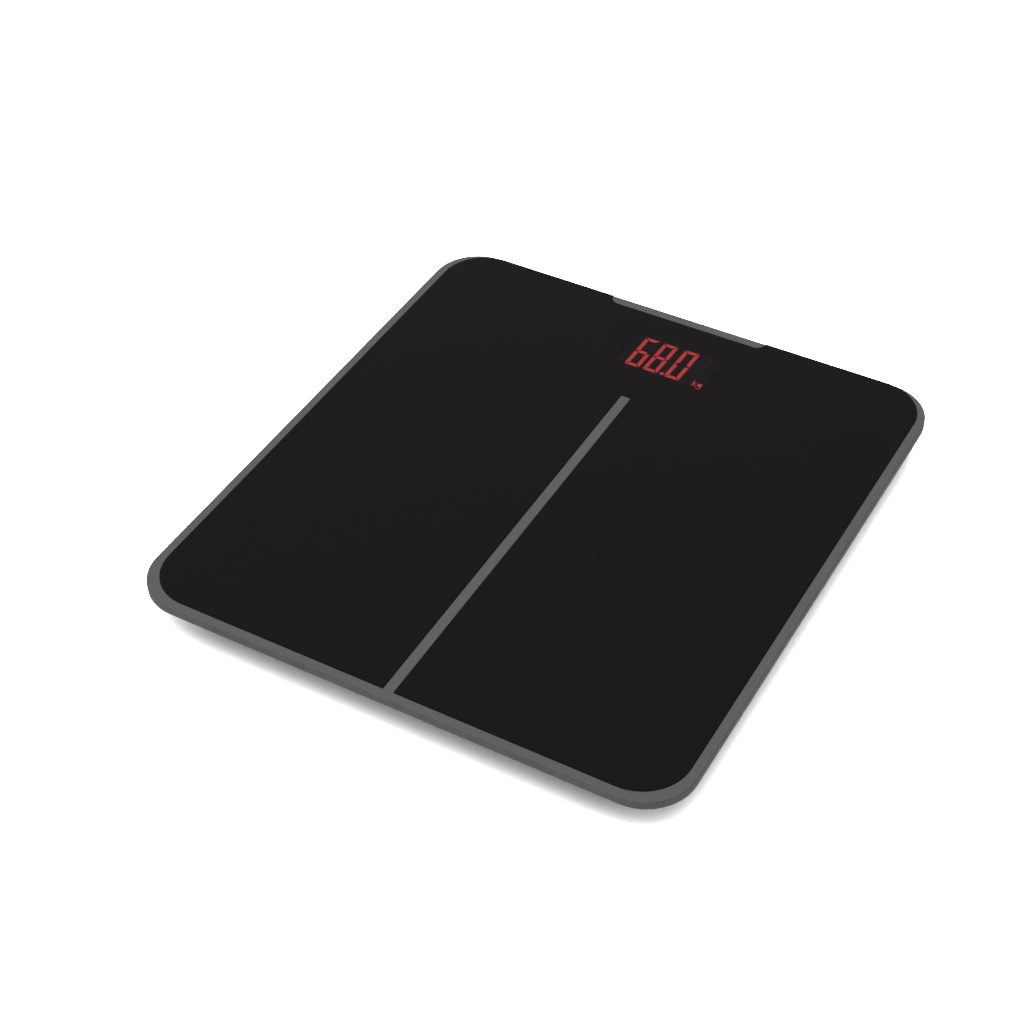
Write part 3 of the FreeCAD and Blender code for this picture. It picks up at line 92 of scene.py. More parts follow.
# ---- Node wiring --------------------------------------------------------------------------------
class Wiring:
    """Adds nodes to one node tree and links them, so that a finish reads as a list of steps."""

    def __init__(self, tree: bpy.types.NodeTree) -> None:
        """Keeps the tree.

        Args:
            tree: A material's, a world's or a group's node tree.
        """
        self.tree = tree
        self.column = 0

    def add(self, kind: str, inputs: dict | None = None, **settings) -> bpy.types.Node:
        """Adds one node.

        Args:
            kind: Node type, without the "ShaderNode" prefix.
            inputs: Socket name or index to a value or to another node's output.
            settings: Properties of the node.

        Returns:
            The node.
        """
        node = self.tree.nodes.new("ShaderNode" + kind)
        node.location = (self.column * 180, 0)
        self.column += 1
        for name, value in settings.items():
            setattr(node, name, value)
        for name, value in (inputs or {}).items():
            if isinstance(value, bpy.types.NodeSocket):
                self.tree.links.new(value, node.inputs[name])
            else:
                node.inputs[name].default_value = value
        return node

    def math(self, operation: str, first: Value, second: Value = 0.0, clamp: bool = False) -> Socket:
        """One arithmetic step.

        Args:
            operation: Blender's name of the operation.
            first: First operand.
            second: Second operand.
            clamp: Whether the result stays between 0 and 1.

        Returns:
            The result's socket.
        """
        return self.add("Math", {0: first, 1: second}, operation=operation, use_clamp=clamp).outputs[0]

    def plus(self, first: Value, second: Value) -> Socket:
        """The sum."""
        return self.math("ADD", first, second)

    def minus(self, first: Value, second: Value) -> Socket:
        """The first less the second."""
        return self.math("SUBTRACT", first, second)

    def times(self, first: Value, second: Value) -> Socket:
        """The product."""
        return self.math("MULTIPLY", first, second)

    def reach(self, first: Socket, second: Socket) -> Socket:
        """Length of a flat vector: the root of the sum of its parts' squares."""
        return self.math("SQRT", self.plus(self.times(first, first), self.times(second, second)))

    def mix(self, factor: Value, first: Paint, second: Paint) -> Socket:
        """Mixes two colours.

        Args:
            factor: 0 gives the first, 1 the second.
            first: Colour with alpha, or a socket.
            second: Colour with alpha, or a socket.

        Returns:
            The mixed colour's socket.
        """
        node = self.add("Mix", data_type="RGBA")
        for index, value in ((0, factor), (6, first), (7, second)):
            if isinstance(value, bpy.types.NodeSocket):
                self.tree.links.new(value, node.inputs[index])
            else:
                node.inputs[index].default_value = value
        return node.outputs[2]

    def remap(self, value: Socket, low: float, high: float, to_low: float = 0.0,
              to_high: float = 1.0) -> Socket:
        """Carries a value from one range to another, clamped.

        Args:
            value: Input socket.
            low: Input that gives to_low.
            high: Input that gives to_high.
            to_low: Result at low.
            to_high: Result at high.

        Returns:
            The result's socket.
        """
        node = self.add("MapRange", {"Value": value, "From Min": low, "From Max": high,
                                     "To Min": to_low, "To Max": to_high})
        return node.outputs["Result"]

    def band(self, value: Socket, low: float, high: float, soft: float) -> Socket:
        """A mask that rises just above low and falls just above high.

        Args:
            value: Input socket.
            low: Where the mask starts to rise.
            high: Where it starts to fall.
            soft: Over how much it rises and falls.

        Returns:
            The mask's socket.
        """
        return self.times(self.remap(value, low, low + soft), self.remap(value, high, high + soft, 1.0, 0.0))

    def noise(self, place: Socket, size: float, detail: float = 2.0, roughness: float = 0.5) -> Socket:
        """Soft random pattern.

        Args:
            place: Coordinates in metres.
            size: Size of one blot in metres.
            detail: Octaves.
            roughness: How strong the finer octaves are.

        Returns:
            The pattern's value socket, about 0.5 on average.
        """
        node = self.add("TexNoise", {"Vector": place, "Scale": 1.0 / size, "Detail": detail,
                                     "Roughness": roughness})
        return node.outputs["Fac"]


def rgba(colour: Colour) -> tuple[float, float, float, float]:
    """The colour with an alpha of 1."""
    return (*colour, 1.0)


def shade(colour: Colour, factor: float) -> tuple[float, float, float, float]:
    """The colour made darker or lighter, with an alpha of 1."""
    return (*(min(1.0, c * factor) for c in colour), 1.0)


# ---- Shared effects, as node groups ---------------------------------------------------------------
def new_group(name: str, inputs: dict[str, float], outputs: Sequence[str]) -> tuple:
    """Starts a shader node group whose sockets are all numbers.

    Args:
        name: The group's name.
        inputs: Name of each input to its default.
        outputs: Name of each output.

    Returns:
        The group, its wiring, its input node and its output node.
    """
    group = bpy.data.node_groups.new(name, "ShaderNodeTree")
    for label, default in inputs.items():
        socket = group.interface.new_socket(label, in_out="INPUT", socket_type="NodeSocketFloat")
        socket.default_value = default
    for label in outputs:
        group.interface.new_socket(label, in_out="OUTPUT", socket_type="NodeSocketFloat")
    wiring = Wiring(group)
    start = group.nodes.new("NodeGroupInput")
    end = group.nodes.new("NodeGroupOutput")
    return group, wiring, start, end


def spark_grain_group() -> bpy.types.NodeTree:
    """Spark-eroded mould grain: a fine irregular relief of rounded pits, with finer noise over it.

    Returns:
        A group that gives a height from 0 to 1 and a mask of the pits.
    """
    group, w, start, end = new_group("spark_grain", {"Size": 0.0006}, ("Height", "Pits"))
    place = w.add("TexCoord").outputs["Object"]
    scale = w.math("DIVIDE", 1.0, start.outputs["Size"])
    pits = w.add("TexVoronoi", {"Vector": place, "Scale": scale, "Randomness": 1.0}, feature="SMOOTH_F1")
    fine_scale = w.times(scale, 2.7)
    fine = w.add("TexNoise", {"Vector": place, "Scale": fine_scale, "Detail": 2.0, "Roughness": 0.6})
    coarse_scale = w.times(scale, 0.45)
    coarse = w.add("TexNoise", {"Vector": place, "Scale": coarse_scale, "Detail": 1.0})
    blend = w.plus(w.times(pits.outputs["Distance"], 0.55), w.times(fine.outputs["Fac"], 0.3))
    height = w.plus(blend, w.times(coarse.outputs["Fac"], 0.3))
    group.links.new(height, end.inputs["Height"])
    group.links.new(w.remap(pits.outputs["Distance"], 0.1, 0.7), end.inputs["Pits"])
    return group


def handling_group() -> bpy.types.NodeTree:
    """Handling marks: broad soft smudges, and sparse fine scratches that run in two directions.

    Returns:
        A group that gives a smudge mask and a scratch mask, both from 0 to 1.
    """
    sizes = {"Smudge size": 0.05, "Scratch length": 0.03}
    group, w, start, end = new_group("handling_marks", sizes, ("Smudges", "Scratches"))
    place = w.add("TexCoord").outputs["Object"]
    scale = w.math("DIVIDE", 1.0, start.outputs["Smudge size"])
    broad = w.add("TexNoise", {"Vector": place, "Scale": scale, "Detail": 4.0, "Roughness": 0.62,
                               "Distortion": 0.6})
    smudges = w.remap(broad.outputs["Fac"], 0.45, 0.72)
    along = w.math("DIVIDE", 1.0, start.outputs["Scratch length"])
    across = w.times(along, 60.0)
    masks = []
    for turn in (0.5, -1.05):
        turned = w.add("Mapping", {"Vector": place, "Rotation": (0.0, 0.0, turn)}).outputs["Vector"]
        stretch = w.add("CombineXYZ", {"X": along, "Y": across, "Z": along}).outputs["Vector"]
        stretched = w.add("VectorMath", {0: turned, 1: stretch}, operation="MULTIPLY").outputs["Vector"]
        lines = w.add("TexNoise", {"Vector": stretched, "Scale": 1.0, "Detail": 1.0})
        masks.append(w.remap(lines.outputs["Fac"], 0.76, 0.82))
    group.links.new(smudges, end.inputs["Smudges"])
    group.links.new(w.math("MAXIMUM", masks[0], masks[1]), end.inputs["Scratches"])
    return group


def outline_group() -> bpy.types.NodeTree:
    """Distance inwards from the platform's rounded rectangle outline.

    With q = |p| - (half size - corner radius), the distance to a rounded rectangle is the length of
    the positive part of q, plus its largest part where that is negative, less the corner radius.

    Returns:
        A group that gives the distance inside the outline, in metres.
    """
    sizes = {"Half width": 0.145, "Half length": 0.157, "Corner": 0.0255}
    group, w, start, end = new_group("outline_distance", sizes, ("Inside",))
    place = w.add("TexCoord").outputs["Object"]
    xyz = w.add("SeparateXYZ", {0: place})
    parts = []
    for axis, half in (("X", "Half width"), ("Y", "Half length")):
        reach = w.minus(start.outputs[half], start.outputs["Corner"])
        parts.append(w.minus(w.math("ABSOLUTE", xyz.outputs[axis]), reach))
    clipped = [w.math("MAXIMUM", part, 0.0) for part in parts]
    outer = w.reach(*clipped)
    inner = w.math("MINIMUM", w.math("MAXIMUM", parts[0], parts[1]), 0.0)
    inside = w.minus(start.outputs["Corner"], w.plus(outer, inner))
    group.links.new(inside, end.inputs["Inside"])
    return group


class Effects:
    """The shared node groups, each built once."""

    def __init__(self) -> None:
        """Builds the groups."""
        self.grain = spark_grain_group()
        self.handling = handling_group()
        self.outline = outline_group()

    @staticmethod
    def place(w: Wiring, group: bpy.types.NodeTree, **values: float) -> bpy.types.Node:
        """Places a group in a tree.

        Args:
            w: The tree's wiring.
            group: The group to place.
            values: Input name, with underscores for spaces, to its value.

        Returns:
            The group node.
        """
        node = w.add("Group")
        node.node_tree = group
        for name, value in values.items():
            node.inputs[name.replace("_", " ")].default_value = value
        return node


# ---- Finishes ------------------------------------------------------------------------------------
def start_material(name: str) -> tuple[bpy.types.Material, Wiring, bpy.types.Node]:
    """Starts a material with a Principled shader.

    Args:
        name: The material's name.

    Returns:
        The material, its wiring and its Principled node.
    """
    material = bpy.data.materials.new(name)
    material.use_nodes = True
    tree = material.node_tree
    tree.nodes.clear()
    wiring = Wiring(tree)
    shader = wiring.add("BsdfPrincipled")
    output = wiring.add("OutputMaterial")
    tree.links.new(shader.outputs[0], output.inputs["Surface"])
    return material, wiring, shader


class Bench:
    """One material being made: its wiring, its shader, its place on the object and the shared effects."""

    def __init__(self, name: str, effects: Effects) -> None:
        """Starts the material.

        Args:
            name: The material's name.
            effects: The shared node groups.
        """
        self.material, self.w, self.shader = start_material(name)
        self.effects = effects
        self.place = self.w.add("TexCoord").outputs["Object"]

    def feed(self, socket: str, value: Socket) -> None:
        """Feeds one of the shader's sockets."""
        self.w.tree.links.new(value, self.shader.inputs[socket])

    def set(self, socket: str, value: float) -> None:
        """Sets one of the shader's sockets, the same all over the surface."""
        self.shader.inputs[socket].default_value = value

    def relief(self, height: Socket, depth: float) -> None:
        """Puts a bump on the shader.

        Args:
            height: Height from 0 to 1.
            depth: Height of the relief in metres.
        """
        bump = self.w.add("Bump", {"Strength": 1.0, "Distance": depth, "Height": height})
        self.feed("Normal", bump.outputs["Normal"])

    def grain(self, size: float) -> bpy.types.Node:
        """Places the spark grain, with pits of one size in metres."""
        return Effects.place(self.w, self.effects.grain, Size=size)

    def marks(self, smudge: float, scratch: float) -> bpy.types.Node:
        """Places the handling marks, with the smudges' size and the scratches' length in metres."""
        return Effects.place(self.w, self.effects.handling, Smudge_size=smudge, Scratch_length=scratch)

    def orange_peel(self, depth: float) -> None:
        """Puts on the soft waviness of a sheet, of one depth in metres."""
        fine = self.w.times(self.w.noise(self.place, 0.0012, 1.0), 0.2)
        self.relief(self.w.plus(self.w.noise(self.place, 0.0035, 2.0), fine), depth)


@dataclass(frozen=True)
class Finish:
    """A named finish; each kind of finish wires its own look."""

    name: str

    def build(self, effects: Effects) -> bpy.types.Material:
        """Makes the material.

        Args:
            effects: The shared node groups.

        Returns:
            The material.
        """
        bench = Bench(self.name, effects)
        self.paint(bench)
        return bench.material

    def paint(self, b: Bench) -> None:
        """Wires the look on a bench; each kind of finish has its own."""
        raise NotImplementedError


@dataclass(frozen=True)
class MouldedPlastic(Finish):
    """Grained, moulded plastic with a slight tone drift and handling marks."""

    base: Colour
    roughness: float = 0.5
    specular: float = 0.4
    grain: float = 0.0006
    depth: float = 0.00002
    drift: float = 0.06
    marks: float = 0.05

    def paint(self, b: Bench) -> None:
        """Wires the look.

        Args:
            b: The material being made.
        """
        w, place = b.w, b.place
        grain = b.grain(self.grain)
        marks = b.marks(0.06, 0.025)
        tone = w.noise(place, 0.035, 3.0)
        body = w.mix(tone, shade(self.base, 1.0 - self.drift), shade(self.base, 1.0 + self.drift))
        pitted = w.mix(w.times(grain.outputs["Pits"], 0.22), body, shade(self.base, 0.72))
        worn = w.mix(w.times(marks.outputs["Scratches"], self.marks), pitted, shade(self.base, 1.9))
        b.feed("Base Color", worn)
        polish = w.remap(marks.outputs["Smudges"], 0.0, 1.0, self.roughness + 0.03, self.roughness - 0.06)
        b.feed("Roughness", polish)
        b.set("Specular IOR Level", self.specular)
        b.relief(grain.outputs["Height"], self.depth)


@dataclass(frozen=True)
class FrameShell(MouldedPlastic):
    """The frame's plastic, with its outer corner rubbed a little brighter."""

    half_width: float = float(CAD_BOX[1][0])
    half_length: float = float(CAD_BOX[1][1])
    corner: float = 0.0255
    rub_width: float = 0.0011

    def paint(self, b: Bench) -> None:
        """Wires the look.

        Args:
            b: The material being made.
        """
        super().paint(b)
        w, place = b.w, b.place
        colour = b.shader.inputs["Base Color"].links[0].from_socket
        edge = Effects.place(w, b.effects.outline, Half_width=self.half_width, Half_length=self.half_length,
                             Corner=self.corner)
        near = w.remap(edge.outputs["Inside"], 0.0002, self.rub_width, 1.0, 0.0)
        patchy = w.times(near, w.remap(w.noise(place, 0.012, 3.0), 0.4, 0.75, 0.0, 0.35))
        rubbed = w.mix(patchy, colour, shade(self.base, 1.5))
        b.feed("Base Color", rubbed)


@dataclass(frozen=True)
class StandingSheet(Finish):
    """The black standing panel: a satin sheet with faint orange peel, smudges and hairline scratches."""

    base: Colour
    roughness: float = 0.34
    specular: float = 0.035
    peel: float = 0.000004

    def paint(self, b: Bench) -> None:
        """Wires the look.

        Args:
            b: The material being made.
        """
        w, place = b.w, b.place
        marks = b.marks(0.07, 0.04)
        dust = w.noise(place, 0.0011, 1.0)
        specks = w.remap(dust, 0.80, 0.84, 0.0, 0.35)
        cloud = w.noise(place, 0.09, 3.0)
        body = w.mix(cloud, shade(self.base, 0.93), shade(self.base, 1.07))
        scratched = w.mix(w.times(marks.outputs["Scratches"], 0.05), body, shade(self.base, 4.0))
        dusty = w.mix(w.times(specks, 0.5), scratched, (0.05, 0.05, 0.052, 1.0))
        b.feed("Base Color", dusty)
        film = w.times(marks.outputs["Smudges"], 0.05)
        b.feed("Roughness", w.plus(w.plus(film, self.roughness), w.times(specks, 0.3)))
        b.set("Specular IOR Level", self.specular)
        b.orange_peel(self.peel)


@dataclass(frozen=True)
class SmokedAcrylic(Finish):
    """Smoked lens: printed black behind its border like the panel, and only smoked over the bars.

    The clear window is a soft rectangle on X and Y: with d the distance outside the bars' box,
    alpha runs smoothly from the smoked value at d = 0 to 1 at d = fade. Where alpha is lower, the base
    is raised to base * ((1 + g) / alpha - g), with g the gloss's share of the look, so that the whole
    lens keeps one tone.
    """

    base: Colour
    alpha: float = 0.6
    roughness: float = 0.34
    specular: float = 0.035
    fade: float = 0.0025
    gloss_share: float = 1.1
    peel: float = 0.000004
    nodes: tuple[str, ...] = ("lit_segments", "dark_segments", "unit_legend")

    def window(self) -> tuple[tuple[float, float], tuple[float, float]]:
        """Middle and half size of the box round the bars, on X and Y."""
        boxes = np.array([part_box(node) for node in self.nodes])
        low, high = boxes[:, 0, :2].min(axis=0), boxes[:, 1, :2].max(axis=0)
        return tuple((low + high) / 2), tuple((high - low) / 2)

    def paint(self, b: Bench) -> None:
        """Wires the look.

        Args:
            b: The material being made.
        """
        w, place = b.w, b.place
        marks = b.marks(0.07, 0.04)
        cloud = w.noise(place, 0.09, 3.0)
        body = w.mix(cloud, shade(self.base, 0.93), shade(self.base, 1.07))
        film = w.times(marks.outputs["Smudges"], 0.05)
        b.feed("Roughness", w.plus(film, self.roughness))
        b.set("Specular IOR Level", self.specular)
        middle, half = self.window()
        xyz = w.add("SeparateXYZ", {0: place})
        beyond = []
        for axis, label in enumerate("XY"):
            reach = w.math("ABSOLUTE", w.minus(xyz.outputs[label], float(middle[axis])))
            beyond.append(w.math("MAXIMUM", w.minus(reach, float(half[axis])), 0.0))
        soft = w.add("MapRange", {"Value": w.reach(*beyond), "From Min": 0.0, "From Max": self.fade,
                                  "To Min": self.alpha, "To Max": 1.0}, interpolation_type="SMOOTHSTEP")
        b.feed("Alpha", soft.outputs["Result"])
        gain = w.minus(w.math("DIVIDE", 1.0 + self.gloss_share, soft.outputs["Result"]), self.gloss_share)
        evened = w.add("VectorMath", {0: body, "Scale": gain}, operation="SCALE").outputs["Vector"]
        b.feed("Base Color", evened)
        b.orange_peel(self.peel)


@dataclass(frozen=True)
class LitDiffuser(Finish):
    """Lit bar: a nearly even glow with a faint slow drift and the fine speckle of a diffuser."""

    base: Colour
    glow: Colour
    strength: float = 1.0

    def paint(self, b: Bench) -> None:
        """Wires the look.

        Args:
            b: The material being made.
        """
        w, place = b.w, b.place
        speckle = w.noise(place, 0.0007, 2.0)
        uneven = w.noise(place, 0.006, 1.0)
        blend = w.math("ADD", w.times(speckle, 0.6), w.times(uneven, 0.6), clamp=True)
        light = w.mix(blend, shade(self.glow, 0.88), shade(self.glow, 1.1))
        b.feed("Emission Color", light)
        b.set("Emission Strength", self.strength)
        tint = w.mix(speckle, shade(self.base, 0.9), shade(self.base, 1.1))
        b.feed("Base Color", tint)
        b.set("Roughness", 0.5)


@dataclass(frozen=True)
class WorkedMetal(Finish):
    """Plated or ground metal with fine lines along one direction and a little tarnish."""

    base: Colour
    roughness: float = 0.32
    line_width: float = 0.00025
    line_length: float = 0.006
    depth: float = 0.000006

    def paint(self, b: Bench) -> None:
        """Wires the look.

        Args:
            b: The material being made.
        """
        w, place = b.w, b.place
        scale = (1.0 / self.line_length, 1.0 / self.line_width, 1.0 / self.line_width)
        stretched = w.add("VectorMath", {0: place, 1: scale}, operation="MULTIPLY").outputs["Vector"]
        lines = w.add("TexNoise", {"Vector": stretched, "Scale": 1.0, "Detail": 2.0}).outputs["Fac"]
        tarnish = w.remap(w.noise(place, 0.008, 4.0), 0.5, 0.75, 0.0, 0.5)
        bright = w.mix(lines, shade(self.base, 0.86), shade(self.base, 1.08))
        dull = w.mix(tarnish, bright, shade(self.base, 0.6))
        b.feed("Base Color", dull)
        b.feed("Roughness", w.remap(tarnish, 0.0, 0.5, self.roughness, self.roughness + 0.2))
        b.set("Metallic", 1.0)
        b.relief(lines, self.depth)


@dataclass(frozen=True)
class SoftPolymer(Finish):
    """Rubber, silicone, insulation or foam: soft sheen, tiny pores, pale bloom in places."""

    base: Colour
    roughness: float = 0.7
    pore: float = 0.0005
    depth: float = 0.00003
    bloom: float = 0.25

    def paint(self, b: Bench) -> None:
        """Wires the look.

        Args:
            b: The material being made.
        """
        w, place = b.w, b.place
        grain = b.grain(self.pore)
        dusty = w.remap(w.noise(place, 0.005, 4.0), 0.48, 0.75, 0.0, self.bloom)
        pale = tuple(min(1.0, c * 1.4 + 0.02) for c in self.base)
        tone = w.mix(dusty, rgba(self.base), rgba(pale))
        pored = w.mix(w.times(grain.outputs["Pits"], 0.35), tone, shade(self.base, 0.6))
        b.feed("Base Color", pored)
        b.feed("Roughness", w.remap(dusty, 0.0, 0.5, self.roughness, self.roughness + 0.15))
        b.set("Specular IOR Level", 0.35)
        b.relief(grain.outputs["Height"], self.depth)


@dataclass(frozen=True)
class BoardLacquer(Finish):
    """Green solder mask over copper tracks: straight tracks show as a slightly paler, raised green."""

    base: Colour
    track: float = 0.0024

    def paint(self, b: Bench) -> None:
        """Wires the look.

        Args:
            b: The material being made.
        """
        w, place = b.w, b.place
        cells = w.add("TexVoronoi", {"Vector": place, "Scale": 1.0 / (6.0 * self.track), "Randomness": 0.9},
                      feature="F1", distance="CHEBYCHEV")
        bands = w.math("FRACT", w.times(cells.outputs["Distance"], 5.0))
        tracks = w.remap(bands, 0.42, 0.5)
        lacquer = w.mix(tracks, rgba(self.base), shade(self.base, 1.9))
        mottled = w.mix(w.times(w.noise(place, 0.004, 2.0), 0.3), lacquer, shade(self.base, 0.7))
        b.feed("Base Color", mottled)
        b.feed("Roughness", w.remap(tracks, 0.0, 1.0, 0.34, 0.26))
        b.relief(tracks, 0.00004)


@dataclass(frozen=True)
class CellJacket(Finish):
    """Battery jacket: dark film with a bright band near one end, and bare steel at both ends."""

    dark: Colour = (0.035, 0.037, 0.042)
    band: Colour = (0.42, 0.23, 0.09)
    steel: Colour = (0.62, 0.61, 0.58)
    film_start: float = 0.012
    film_end: float = 0.962
    band_start: float = 0.72

    def paint(self, b: Bench) -> None:
        """Wires the look.

        Args:
            b: The material being made.
        """
        w, place = b.w, b.place
        along = w.add("Attribute", attribute_name="along", attribute_type="GEOMETRY").outputs["Fac"]
        film = w.band(along, self.film_start, self.film_end, 0.004)
        banded = w.math("GREATER_THAN", along, self.band_start)
        wrap = w.mix(banded, rgba(self.dark), rgba(self.band))
        printed = w.mix(w.times(w.noise(place, 0.002, 2.0), 0.2), wrap, shade(self.dark, 0.6))
        b.feed("Base Color", w.mix(film, rgba(self.steel), printed))
        b.feed("Metallic", w.remap(film, 0.0, 1.0, 1.0, 0.25))
        b.feed("Roughness", w.remap(w.noise(place, 0.003, 3.0), 0.3, 0.7, 0.26, 0.38))
        b.relief(w.noise(place, 0.0016, 2.0), 0.000006)


@dataclass(frozen=True)
class BlankLabel(Finish):
    """Satin film label: a thin dark frame line and ruled lines across it, with nothing written on it."""

    base: Colour
    ink: Colour = (0.09, 0.09, 0.095)
    line_inset: float = 0.0022
    line_width: float = 0.0004
    rule_pitch: float = 0.0101

    def paint(self, b: Bench) -> None:
        """Wires the look.

        Args:
            b: The material being made.
        """
        w, place = b.w, b.place
        low, high = np.array(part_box("rating_label"))
        middle, half = (low + high) / 2, (high - low) / 2
        xyz = w.add("SeparateXYZ", {0: place})
        offsets = []
        for axis, name in enumerate("XY"):
            centred = w.math("ABSOLUTE", w.minus(xyz.outputs[name], float(middle[axis])))
            offsets.append(w.minus(float(half[axis]), centred))
        edge = w.math("MINIMUM", offsets[0], offsets[1])
        line_end = self.line_inset + self.line_width
        line = w.band(edge, self.line_inset, line_end, 0.00005)
        inside = w.math("GREATER_THAN", edge, line_end)
        rows = w.math("FRACT", w.math("DIVIDE", w.minus(xyz.outputs["Y"], float(low[1])), self.rule_pitch))
        rules = w.times(w.band(rows, 0.03, 0.06, 0.01), inside)
        ink = w.math("MAXIMUM", line, rules)
        film = w.mix(w.times(w.noise(place, 0.004, 3.0), 0.3), rgba(self.base), shade(self.base, 0.85))
        b.feed("Base Color", w.mix(ink, film, rgba(self.ink)))
        b.feed("Roughness", w.remap(w.noise(place, 0.006, 3.0), 0.3, 0.7, 0.32, 0.42))
        b.relief(w.noise(place, 0.0009, 2.0), 0.000004)


class Tone(Enum):
    """Base colours, linear."""

    GREY_SHELL = (0.0825, 0.0820, 0.0845)
    PANEL_BLACK = (0.0060, 0.0047, 0.0053)
    COVER_GREY = (0.062, 0.062, 0.065)
    BUTTON_GREY = (0.150, 0.150, 0.156)
    FOOT_BLACK = (0.022, 0.022, 0.023)
    RUBBER_BLACK = (0.016, 0.016, 0.016)
    MASK_BLACK = (0.004, 0.004, 0.004)
    REFLECTOR_WHITE = (0.74, 0.74, 0.72)
    NYLON_IVORY = (0.70, 0.66, 0.55)
    EPOXY_BLACK = (0.018, 0.018, 0.019)
    LIT_RED = (0.30, 0.02, 0.02)
    GLOW_RED = (0.860, 0.062, 0.066)
    DARK_BAR = (0.0048, 0.0040, 0.0040)
    BOARD_GREEN = (0.010, 0.085, 0.034)
    ZINC = (0.60, 0.60, 0.62)
    NICKEL = (0.62, 0.59, 0.53)
    SPRING_STEEL = (0.50, 0.50, 0.49)
    TIN = (0.68, 0.68, 0.66)
    SILICONE_WHITE = (0.72, 0.72, 0.70)
    LEAD_RED = (0.42, 0.014, 0.014)
    LEAD_BLACK = (0.015, 0.015, 0.015)
    LEAD_GREY = (0.17, 0.17, 0.175)
    LABEL_SILVER = (0.55, 0.55, 0.56)
    SLEEVE_BLUE = (0.018, 0.024, 0.060)


def finishes() -> dict[str, Finish]:
    """The finish of each material slot.

    Returns:
        Slot name to finish.
    """
    t = Tone
    made = (
        FrameShell("grey_shell", t.GREY_SHELL.value, roughness=0.55, specular=0.25, grain=0.0007,
                   depth=0.000016),
        StandingSheet("black_panel", t.PANEL_BLACK.value),
        SmokedAcrylic("smoked_lens", t.PANEL_BLACK.value),
        MouldedPlastic("tape", (0.05, 0.05, 0.05), roughness=0.6, grain=0.002),
        SoftPolymer("black_foam", (0.02, 0.02, 0.02), roughness=0.9, pore=0.0006, depth=0.0001),
        MouldedPlastic("black_mask", t.MASK_BLACK.value, roughness=0.7, specular=0.1),
        MouldedPlastic("white_reflector", t.REFLECTOR_WHITE.value, roughness=0.3, depth=0.000004),
        WorkedMetal("tinned_metal", t.TIN.value, roughness=0.25),
        LitDiffuser("lit_red", t.LIT_RED.value, t.GLOW_RED.value, strength=2.9),
        MouldedPlastic("dark_segment", t.DARK_BAR.value, roughness=0.5, specular=0.1),
        BoardLacquer("green_board", t.BOARD_GREEN.value),
        MouldedPlastic("black_epoxy", t.EPOXY_BLACK.value, roughness=0.55, grain=0.0003),
        CellJacket("capacitor_sleeve", dark=t.SLEEVE_BLUE.value, band=(0.35, 0.36, 0.38)),
        MouldedPlastic("ivory_nylon", t.NYLON_IVORY.value, roughness=0.45, depth=0.000006),
        WorkedMetal("zinc_steel", t.ZINC.value, roughness=0.3),
        MouldedPlastic("button_plastic", t.BUTTON_GREY.value, roughness=0.42, grain=0.0005),
        MouldedPlastic("dark_cover", t.COVER_GREY.value, roughness=0.58, grain=0.0009, depth=0.00003),
        BlankLabel("blank_label", t.LABEL_SILVER.value),
        MouldedPlastic("door_plastic", t.COVER_GREY.value, roughness=0.55, grain=0.0008, depth=0.000026),
        CellJacket("cell_jacket"),
        WorkedMetal("nickel_spring", t.NICKEL.value, roughness=0.24),
        WorkedMetal("nickel_plate", t.NICKEL.value, roughness=0.3),
        SoftPolymer("red_lead", t.LEAD_RED.value, roughness=0.42, bloom=0.05, depth=0.000008),
        SoftPolymer("black_lead", t.LEAD_BLACK.value, roughness=0.42, bloom=0.1, depth=0.000008),
        SoftPolymer("grey_lead", t.LEAD_GREY.value, roughness=0.45, bloom=0.1, depth=0.000008),
        SoftPolymer("white_silicone", t.SILICONE_WHITE.value, roughness=0.35, pore=0.002),
        WorkedMetal("stamped_steel", t.ZINC.value, roughness=0.38),
        WorkedMetal("cell_steel", t.SPRING_STEEL.value, roughness=0.34),
        MouldedPlastic("foot_plastic", t.FOOT_BLACK.value, roughness=0.5, grain=0.0006),
        SoftPolymer("foot_rubber", t.RUBBER_BLACK.value, roughness=0.75),
    )
    return {finish.name: finish for finish in made}


# ---- Surfaces as arrays ----------------------------------------------------------------------------
def arc(middle: tuple[float, float], reach: tuple[float, float], start: float, steps: int) -> np.ndarray:
    """A quarter of an ellipse: middle + reach * (cos a, sin a), with the angle a over 90 degrees.

    Args:
        middle: Radius and height of the ellipse's middle.
        reach: Its half sizes along the radius and along the height.
        start: First angle in degrees; 0 points outwards and 90 points up.
        steps: Number of points.

    Returns:
        Points (radius, height).
    """
    turn = np.radians(np.linspace(start, start + 90.0, steps))
    return np.array(middle) + np.array(reach) * np.stack([np.cos(turn), np.sin(turn)], axis=-1)


def closed_faces(rings: int, segments: int) -> list:
    """Faces of a closed tube: a grid of quads that wraps round, and one polygon at each end.

    Args:
        rings: Number of rings of points.
        segments: Number of points in a ring.

    Returns:
        Lists of vertex indices, all wound the same way.
    """
    i, j = np.meshgrid(np.arange(rings - 1) * segments, np.arange(segments), indexing="ij")
    right = (j + 1) % segments
    quads = np.stack([i + j, i + right, i + segments + right, i + segments + j], axis=-1).reshape(-1, 4)
    first = list(range(segments))[::-1]
    last = list(range((rings - 1) * segments, rings * segments))
    return [*quads.tolist(), first, last]


